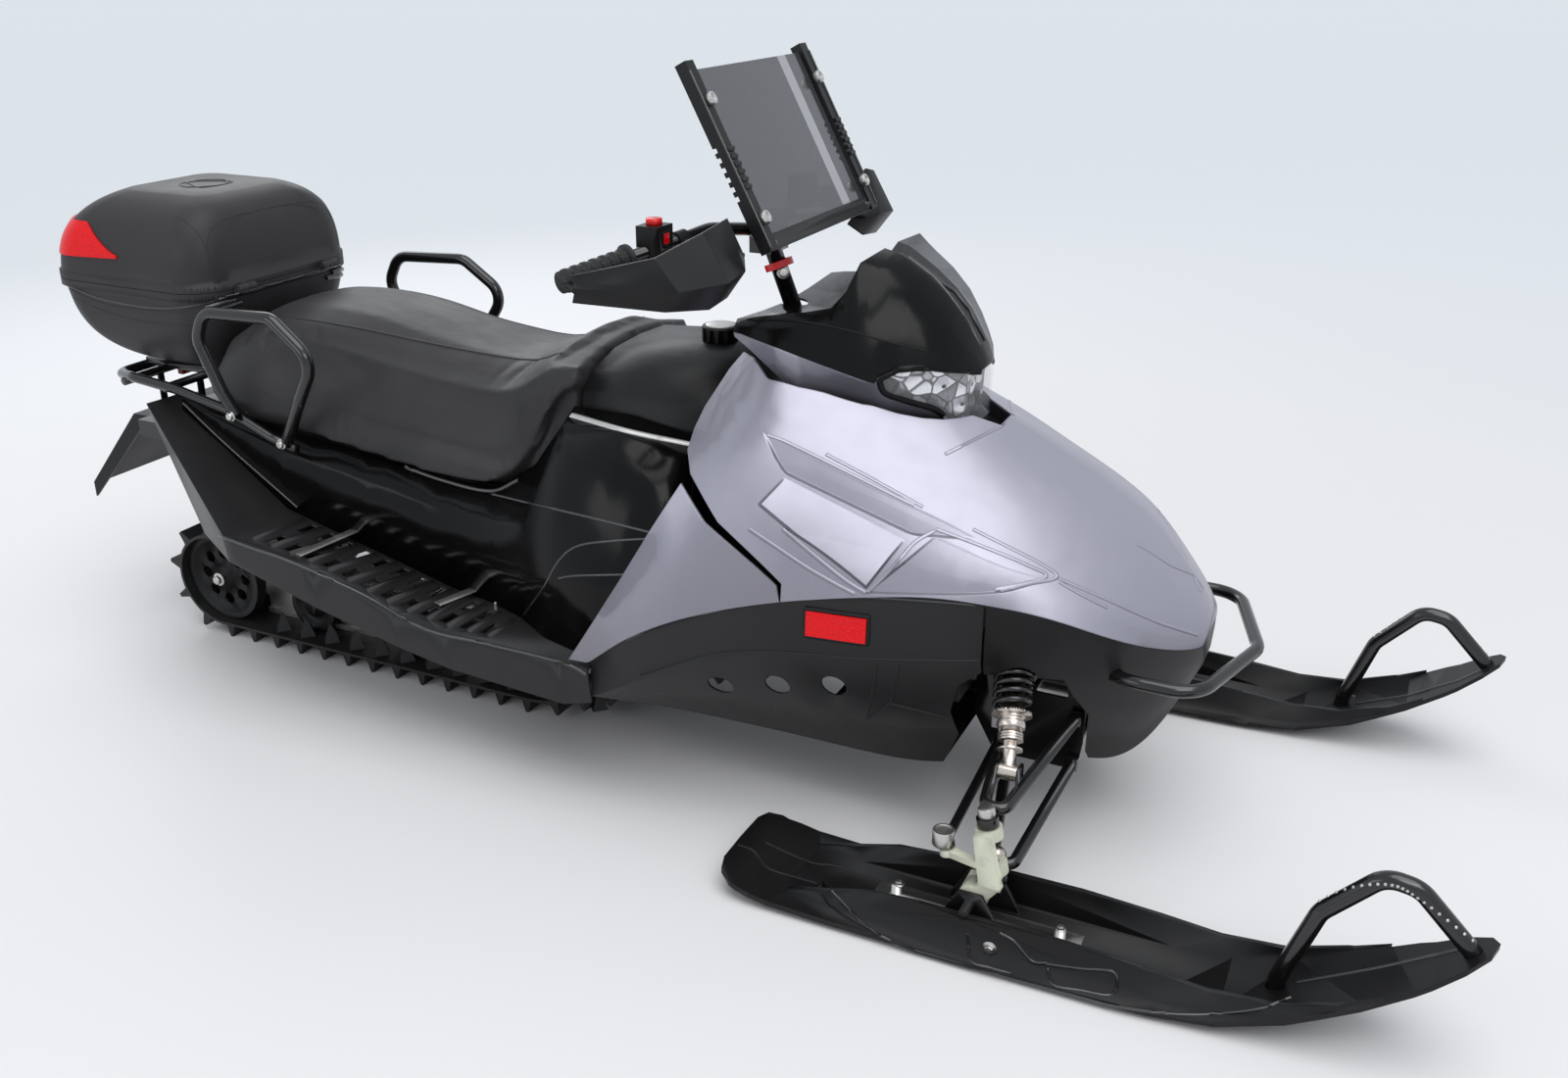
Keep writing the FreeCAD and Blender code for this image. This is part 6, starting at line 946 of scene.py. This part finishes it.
class SNOW_OT_running(bpy.types.Operator):
    """Idler bolts, guide teeth of the track, ski posts, studs of the ski loops, tie rod barrels and arm balls."""

    bl_idname = "snow.running"
    bl_label = "Running gear fittings"

    def execute(self, context):
        both_sides("idler_bolts", bolt((-1.095, -0.1815, 0.130), (0.0, -1.0, 0.0), 0.0105), "bright_steel")
        teeth = [turned((x, -0.158, 0.031), UP, PROFILES["tooth"], 4) for x in np.arange(13) * 0.0665 - 0.950]
        both_sides("track_teeth", teeth, "track_rubber", smooth=20.0)
        posts, studs = [], []
        for pixel, radius, height in (((582, 385), 0.0105, 0.034), ((675, 402), 0.0095, 0.022)):
            place, _ = sight("ski_plate_right", ski_view([pixel]))
            if len(place):
                posts.append(post(place[0], radius, height))
        loop = ski_view([(965, 318), (1060, 262), (1150, 250), (1210, 280), (1300, 350)])
        for place in sight("ski_loop_right", loop, 26)[0]:
            outer = cast("ski_loop_right", place + (0.0, -0.06, 0.05), (0.0, 0.77, -0.64))
            spot, facing = outer or (place, np.array((0.0, -1.0, 0.0)))
            studs.append(turned(spot - facing * 0.0004, facing, PROFILES["stud"], 8))
        for side, made in (("right", list), ("left", flipped)):
            if posts:
                assemble("ski_posts_" + side, made(posts), "frame_black", "ski_" + side)
            if studs:
                assemble("loop_studs_" + side, made(studs), "bright_steel", "ski_" + side)
        place, _ = sight("tie_rods", ski_view([(356, 160)]))
        if len(place):
            barrel = turned((place[0][0], -SKI_LINE, place[0][2] - 0.014), UP, PROFILES["barrel"], 28)
            both_sides("tie_barrels", [barrel], "bright_steel", "tie_rods")
        place, _ = sight("lower_arms", ski_view([(447, 200)]))
        if len(place):
            ball = pad(place[0] + (0.0, 0.004, 0.0), (0.0165, 0.0165, 0.0165), 2.0, 17)
            both_sides("arm_balls", [ball], "nickel")
        return {"FINISHED"}


class SNOW_OT_bars(bpy.types.Operator):
    """Stop switch, cable nuts and boots, the screen's knobs, ribs, stays and rails, the stem's clip and bolt."""

    bl_idname = "snow.bars"
    bl_label = "Bar fittings"

    def execute(self, context):
        body = "handlebar_unit"
        square = pad((0.0978, -0.2790, 0.986), (0.0016, 0.0085, 0.0085), 8.0)
        assemble("stop_square", [square], "red_plastic", body)
        square = pad((0.0972, -0.2790, 0.986), (0.0012, 0.0120, 0.0120), 9.0)
        assemble("stop_frame", [square], "black_plastic", body)
        sides = (-1.0, 1.0)
        nuts = [turned((0.082, side * 0.2555, 0.968), (0.0, -side, 0.0), PROFILES["cable_nut"], 24, 6)
                for side in sides]
        boots = [turned((0.082, side * 0.237, 0.968), (0.0, -side, 0.0), PROFILES["cable_boot"])
                 for side in sides]
        assemble("cable_nuts", nuts, "bright_steel", body)
        assemble("cable_boots", boots, "black_plastic", body)
        rise, front = leaning(SCREEN_LEAN)
        foot = np.array((0.244, 0.0, 0.965))
        knobs, ribs, stays, edges = [], [], [], []
        for side in sides:
            for height in (0.052, 0.248):
                place = foot + rise * height + front * 0.0098 + (0.0, side * 0.203, 0.0)
                knobs.append(turned(place, front, PROFILES["screen_knob"], 24))
            for height in np.linspace(0.105, 0.168, 6):
                middle = foot + rise * height + front * 0.0105 + (0.0, side * 0.209, 0.0)
                line = middle + np.outer(np.linspace(-0.0105, 0.0105, 5), (0.0, 1.0, 0.0))
                ribs.append(swept(line, round_ring(0.0042), front))
            heights = np.linspace(0.006, 0.298, 12)[:, None]
            line = foot + rise * heights + front * 0.0105 + (0.0, side * 0.2205, 0.0)
            edges.append(swept(line, round_ring(0.0020, 8), front))
            bend = spline([(0.132, side * 0.040, 0.976), (0.178, side * 0.100, 0.963),
                           (0.214, side * 0.160, 0.964), (0.240, side * 0.196, 0.975)], 22)
            stays.append(swept(bend, round_ring(0.0050, 12)))
            stays.append(pad(bend[0], (0.010, 0.009, 0.010), 3.0))
            stays.append(pad(bend[-1], (0.008, 0.010, 0.008), 3.0))
        assemble("screen_knobs", knobs, "bright_steel", body)
        assemble("screen_ribs", ribs, "black_plastic", body)
        assemble("screen_stays", stays, "frame_black", body)
        assemble("screen_edges", edges, "gloss_black", body, finish="edge_black")
        column, across = leaning(STEM_LEAN)
        turn = np.linspace(math.radians(-128.0), math.radians(128.0), 30)
        middle = np.array((0.170, 0.0, 0.870)) + column * 0.030
        arc = middle + np.outer(np.cos(turn) * 0.0245, across) + np.outer(np.sin(turn) * 0.0245, (0.0, 1.0, 0.0))
        clip = swept(arc, [(-0.002, -0.006), (0.002, -0.006), (0.002, 0.006), (-0.002, 0.006)], column)
        assemble("stem_clip", [clip], "red_plastic", body)
        place, normal = sight("steering_stem", [(799.0, 278.0)])
        if len(place):
            assemble("stem_bolt", bolt(place[0], normal[0], 0.008, 0), "bright_steel", body)
        return {"FINISHED"}


class SNOW_OT_boards(bpy.types.Operator):
    """Grip pins and pale cross straps of the running boards."""

    bl_idname = "snow.boards"
    bl_label = "Board pins"

    def execute(self, context):
        pins, straps = [], []
        for x in np.arange(12) * 0.044 - 0.722:
            for y in (-0.286, -0.366):
                found = down_on("running_boards", x, y)
                if found is not None and found[1][2] > 0.8:
                    pins.append(turned(found[0] - (0.0, 0.0, 0.0005), UP, PROFILES["board_pin"], 10))
        both_sides("board_pins", pins, "bright_steel")
        for ends in (((318, 485), (495, 440)), ((655, 636), (795, 588))):
            points, _ = sight("running_boards", middle_view(ends), 25)
            line = points[0] + (points[-1] - points[0]) * np.linspace(0.0, 1.0, 9)[:, None]
            line[:, 2] = points[:, 2].max() + 0.001
            straps.append(swept(line, bead_ring(0.022, 0.0022)))
        both_sides("board_straps", straps, "aluminium")
        return {"FINISHED"}


def shell(points, normals, low, high):
    """A thin closed skin over a grid of points: the grid lifted by high, and by low with rows turned round."""
    return wrap(np.concatenate((points + normals * high, (points + normals * low)[:, ::-1]), axis=1))


# Where the upright axis of the case stands
CASE_AXIS = np.array((-1.19, 0.0))


def round_case(turns, lows, highs):
    """Points and normals where level lines to the case's upright axis meet its lid, at nine heights a turn."""
    rows = []
    for turn, low, high in zip(turns, lows, highs):
        outward = np.array((math.cos(turn), math.sin(turn)))
        start = CASE_AXIS + outward * 0.6
        heights = np.linspace(low, high, 9)
        rows.append([cast("case_lid", (*start, height), (*-outward, 0.0)) for height in heights])
    grid = np.array(rows)
    return grid[:, :, 0], grid[:, :, 1]


class SNOW_OT_lamps(bpy.types.Operator):
    """The wrap-round reflectors of the case, the frames of the side reflectors and the fuel cap's pale disc."""

    bl_idname = "snow.lamps"
    bl_label = "Cap disc and reflector frames"

    def execute(self, context):
        (tip, head, foot), _ = sight("case_lid", rear_view([(372, 533), (262, 404), (186, 520)]))
        start, top, bottom = (math.atan2(place[1], place[0] - CASE_AXIS[0]) for place in (tip, head, foot))
        share = np.linspace(0.0, 1.0, 30)
        sweep = start + (math.radians(-168.0) - start) * share
        lows = tip[2] - 0.004 + (foot[2] - tip[2]) * np.clip((sweep - start) / (bottom - start), 0.0, 1.0)
        highs = tip[2] + 0.002 + (head[2] - tip[2]) * np.clip((sweep - start) / (top - start), 0.0, 1.0) ** 1.35
        highs -= (highs - lows) * 0.55 * np.clip((share - 0.62) / 0.38, 0.0, 1.0) ** 1.2
        lens = [shell(*round_case(sweep, lows, highs), -0.001, 0.0035)]
        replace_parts(both_sides("case_reflectors", lens, "red_lens", "case_lid", smooth=60.0), "case_lamps")
        lens = places(NODES["side_reflectors"].data)
        lens = lens[lens[:, 1] < 0.0]
        (west, low), (east, high) = lens[:, (0, 2)].min(axis=0) - 0.002, lens[:, (0, 2)].max(axis=0) + 0.002
        corners = np.array(((west, high), (east, high), (east, low), (west, low), (west, high)))
        place = np.linspace(0.0, 4.0, 41)[:-1]
        across, up = (np.interp(place, range(5), corners[:, axis]) for axis in (0, 1))
        points, normals = met(side_on("belly_pan", x, z) for x, z in zip(across, up))
        both_sides("reflector_frames", [swept(points, bead_ring(0.008, 0.0035), normals, False)], "black_plastic")
        assemble("cap_disc", [turned((0.044, 0.0, 0.7785), UP, PROFILES["cap_disc"], 40)], "aluminium")
        return {"FINISHED"}


class SNOW_OT_bodywork(bpy.types.Operator):
    """Gives every curved node its smooth surface and every flat one its finish."""

    bl_idname = "snow.bodywork"
    bl_label = "Bodywork"

    def execute(self, context):
        for node, piece in NODES.items():
            if node in FLAT_NODES:
                piece.data.materials.clear()
                piece.data.materials.append(finish_of(SLOT_OF[node]))
            elif node not in MADE_NODES:
                smooth_copy(node)
        return {"FINISHED"}


# The camera's film width and lens in millimetres, how far the floor reaches, and the colours of floor and sky
FILM_WIDTH = 36.0
LENS = 33.129
FLOOR_REACH = 120.0
NEAR_FLOOR, FAR_FLOOR = (0.76, 0.76, 0.775, 1.0), (0.76, 0.80, 0.84, 1.0)
SKY, SKY_STRENGTH, BACKDROP = (0.95, 0.97, 1.0, 1.0), 0.52, (0.72, 0.76, 0.81, 1.0)

# Lamps: name, kind, place, aim, size (the angle of a sun, or the sides of an area) and power
LAMPS = (
    ("overhead", "SUN", (0.5, -0.5, 3.0), (0.0, 0.0, 0.0), math.radians(50.0), 1.45),
    ("key", "AREA", (2.6, -2.2, 3.0), (0.4, 0.0, 0.5), (2.4, 1.4), 34.0),
    ("rear", "AREA", (-3.0, 2.4, 2.6), (0.0, 0.0, 0.5), (2.4, 1.4), 30.0),
    ("near", "AREA", (-1.8, -3.4, 1.8), (-0.2, 0.0, 0.5), (2.6, 1.0), 16.0),
)


def add_camera(scene):
    """The photograph's viewpoint, as a camera."""
    side, over, ahead = (Vector(axis) for axis in VIEW_AXES)
    data = bpy.data.cameras.new("camera")
    data.sensor_width = FILM_WIDTH
    data.lens = LENS
    camera = bpy.data.objects.new("camera", data)
    scene.collection.objects.link(camera)
    camera.matrix_world = Matrix.Translation(EYE) @ Matrix((side, over, -ahead)).transposed().to_4x4()
    scene.camera = camera


def add_floor(scene):
    """A wide pale floor that turns a little bluer away from the machine."""
    mesh = bpy.data.meshes.new("floor")
    corners = np.array(((-1.0, -1.0, 0.0), (1.0, -1.0, 0.0), (1.0, 1.0, 0.0), (-1.0, 1.0, 0.0))) * FLOOR_REACH
    mesh.from_pydata(corners.tolist(), [], [(0, 1, 2, 3)])
    floor = bpy.data.objects.new("floor", mesh)
    scene.collection.objects.link(floor)
    p = Paint("floor_paint")
    east, north = p.axis("X"), p.axis("Y")
    far = (east * east + north * north) ** 0.5
    haze = p.noise(0.8, 3.0).step(0.3, 0.7, 0.97, 1.03)
    tone = p.blend(far.step(1.2, 6.0), NEAR_FLOOR, FAR_FLOOR)
    p.finish(Base_Color=tone, Roughness=haze * 0.45, Specular_IOR_Level=0.3)
    mesh.materials.append(p.material)


def add_sky(scene):
    """A soft sky that lights the machine, and a flat backdrop for the camera, for gloss and for clear sheets."""
    world = bpy.data.worlds.new("studio")
    scene.world = world
    world.use_nodes = True
    nodes, links = world.node_tree.nodes, world.node_tree.links
    sky = nodes["Background"]
    sky.inputs["Color"].default_value = SKY
    sky.inputs["Strength"].default_value = SKY_STRENGTH
    backdrop = nodes.new("ShaderNodeBackground")
    backdrop.inputs["Color"].default_value = BACKDROP
    rays = nodes.new("ShaderNodeLightPath")
    seen = rays.outputs["Is Camera Ray"]
    for other in ("Is Glossy Ray", "Is Transmission Ray"):
        either = nodes.new("ShaderNodeMath")
        either.operation = "MAXIMUM"
        links.new(seen, either.inputs[0])
        links.new(rays.outputs[other], either.inputs[1])
        seen = either.outputs[0]
    shown = nodes.new("ShaderNodeMixShader")
    for place, output in enumerate((seen, sky.outputs[0], backdrop.outputs[0])):
        links.new(output, shown.inputs[place])
    links.new(shown.outputs[0], nodes["World Output"].inputs["Surface"])


def add_lamp(scene, name, kind, place, aim, size, power):
    """A sun or an area lamp at a place, turned to its aim."""
    lamp = bpy.data.lights.new(name, kind)
    if kind == "SUN":
        lamp.angle = size
    else:
        lamp.shape = "RECTANGLE"
        lamp.size, lamp.size_y = size
    lamp.energy = power
    held = bpy.data.objects.new(name, lamp)
    scene.collection.objects.link(held)
    held.location = place
    held.rotation_euler = (Vector(aim) - Vector(place)).to_track_quat("-Z", "Y").to_euler()


class SNOW_OT_stage(bpy.types.Operator):
    """Sets the camera, the pale floor, the sky and the soft lamps."""

    bl_idname = "snow.stage"
    bl_label = "Stage"

    def execute(self, context):
        scene = context.scene
        scene.view_settings.view_transform = "Standard"
        add_camera(scene)
        add_floor(scene)
        add_sky(scene)
        for lamp in LAMPS:
            add_lamp(scene, *lamp)
        return {"FINISHED"}


class SNOW_PT_panel(bpy.types.Panel):
    """Lists the steps, the colours and the sizes."""

    bl_idname = "SNOW_PT_panel"
    bl_label = "Snowmobile"
    bl_space_type = "VIEW_3D"
    bl_region_type = "UI"
    bl_category = "Snowmobile"

    def draw(self, context):
        for maker in PIECES:
            self.layout.operator(maker.bl_idname)
        for group in (context.scene.snow_colours, context.scene.snow_sizes):
            for name in group.__annotations__:
                self.layout.prop(group, name)


PIECES = (SNOW_OT_bodywork, SNOW_OT_seat, SNOW_OT_springs, SNOW_OT_seams, SNOW_OT_bolts, SNOW_OT_running,
          SNOW_OT_bars, SNOW_OT_boards, SNOW_OT_lamps, SNOW_OT_stage)
CLASSES = (SNOW_PG_colours, SNOW_PG_sizes) + PIECES + (SNOW_PT_panel,)


def register():
    for made in CLASSES:
        bpy.utils.register_class(made)
    bpy.types.Scene.snow_colours = PointerProperty(type=SNOW_PG_colours)
    bpy.types.Scene.snow_sizes = PointerProperty(type=SNOW_PG_sizes)


def unregister():
    del bpy.types.Scene.snow_sizes
    del bpy.types.Scene.snow_colours
    for made in reversed(CLASSES):
        bpy.utils.unregister_class(made)


def main():
    register()
    for maker in PIECES:
        group, name = maker.bl_idname.split(".")
        getattr(getattr(bpy.ops, group), name)()


if __name__ == "__main__":
    main()
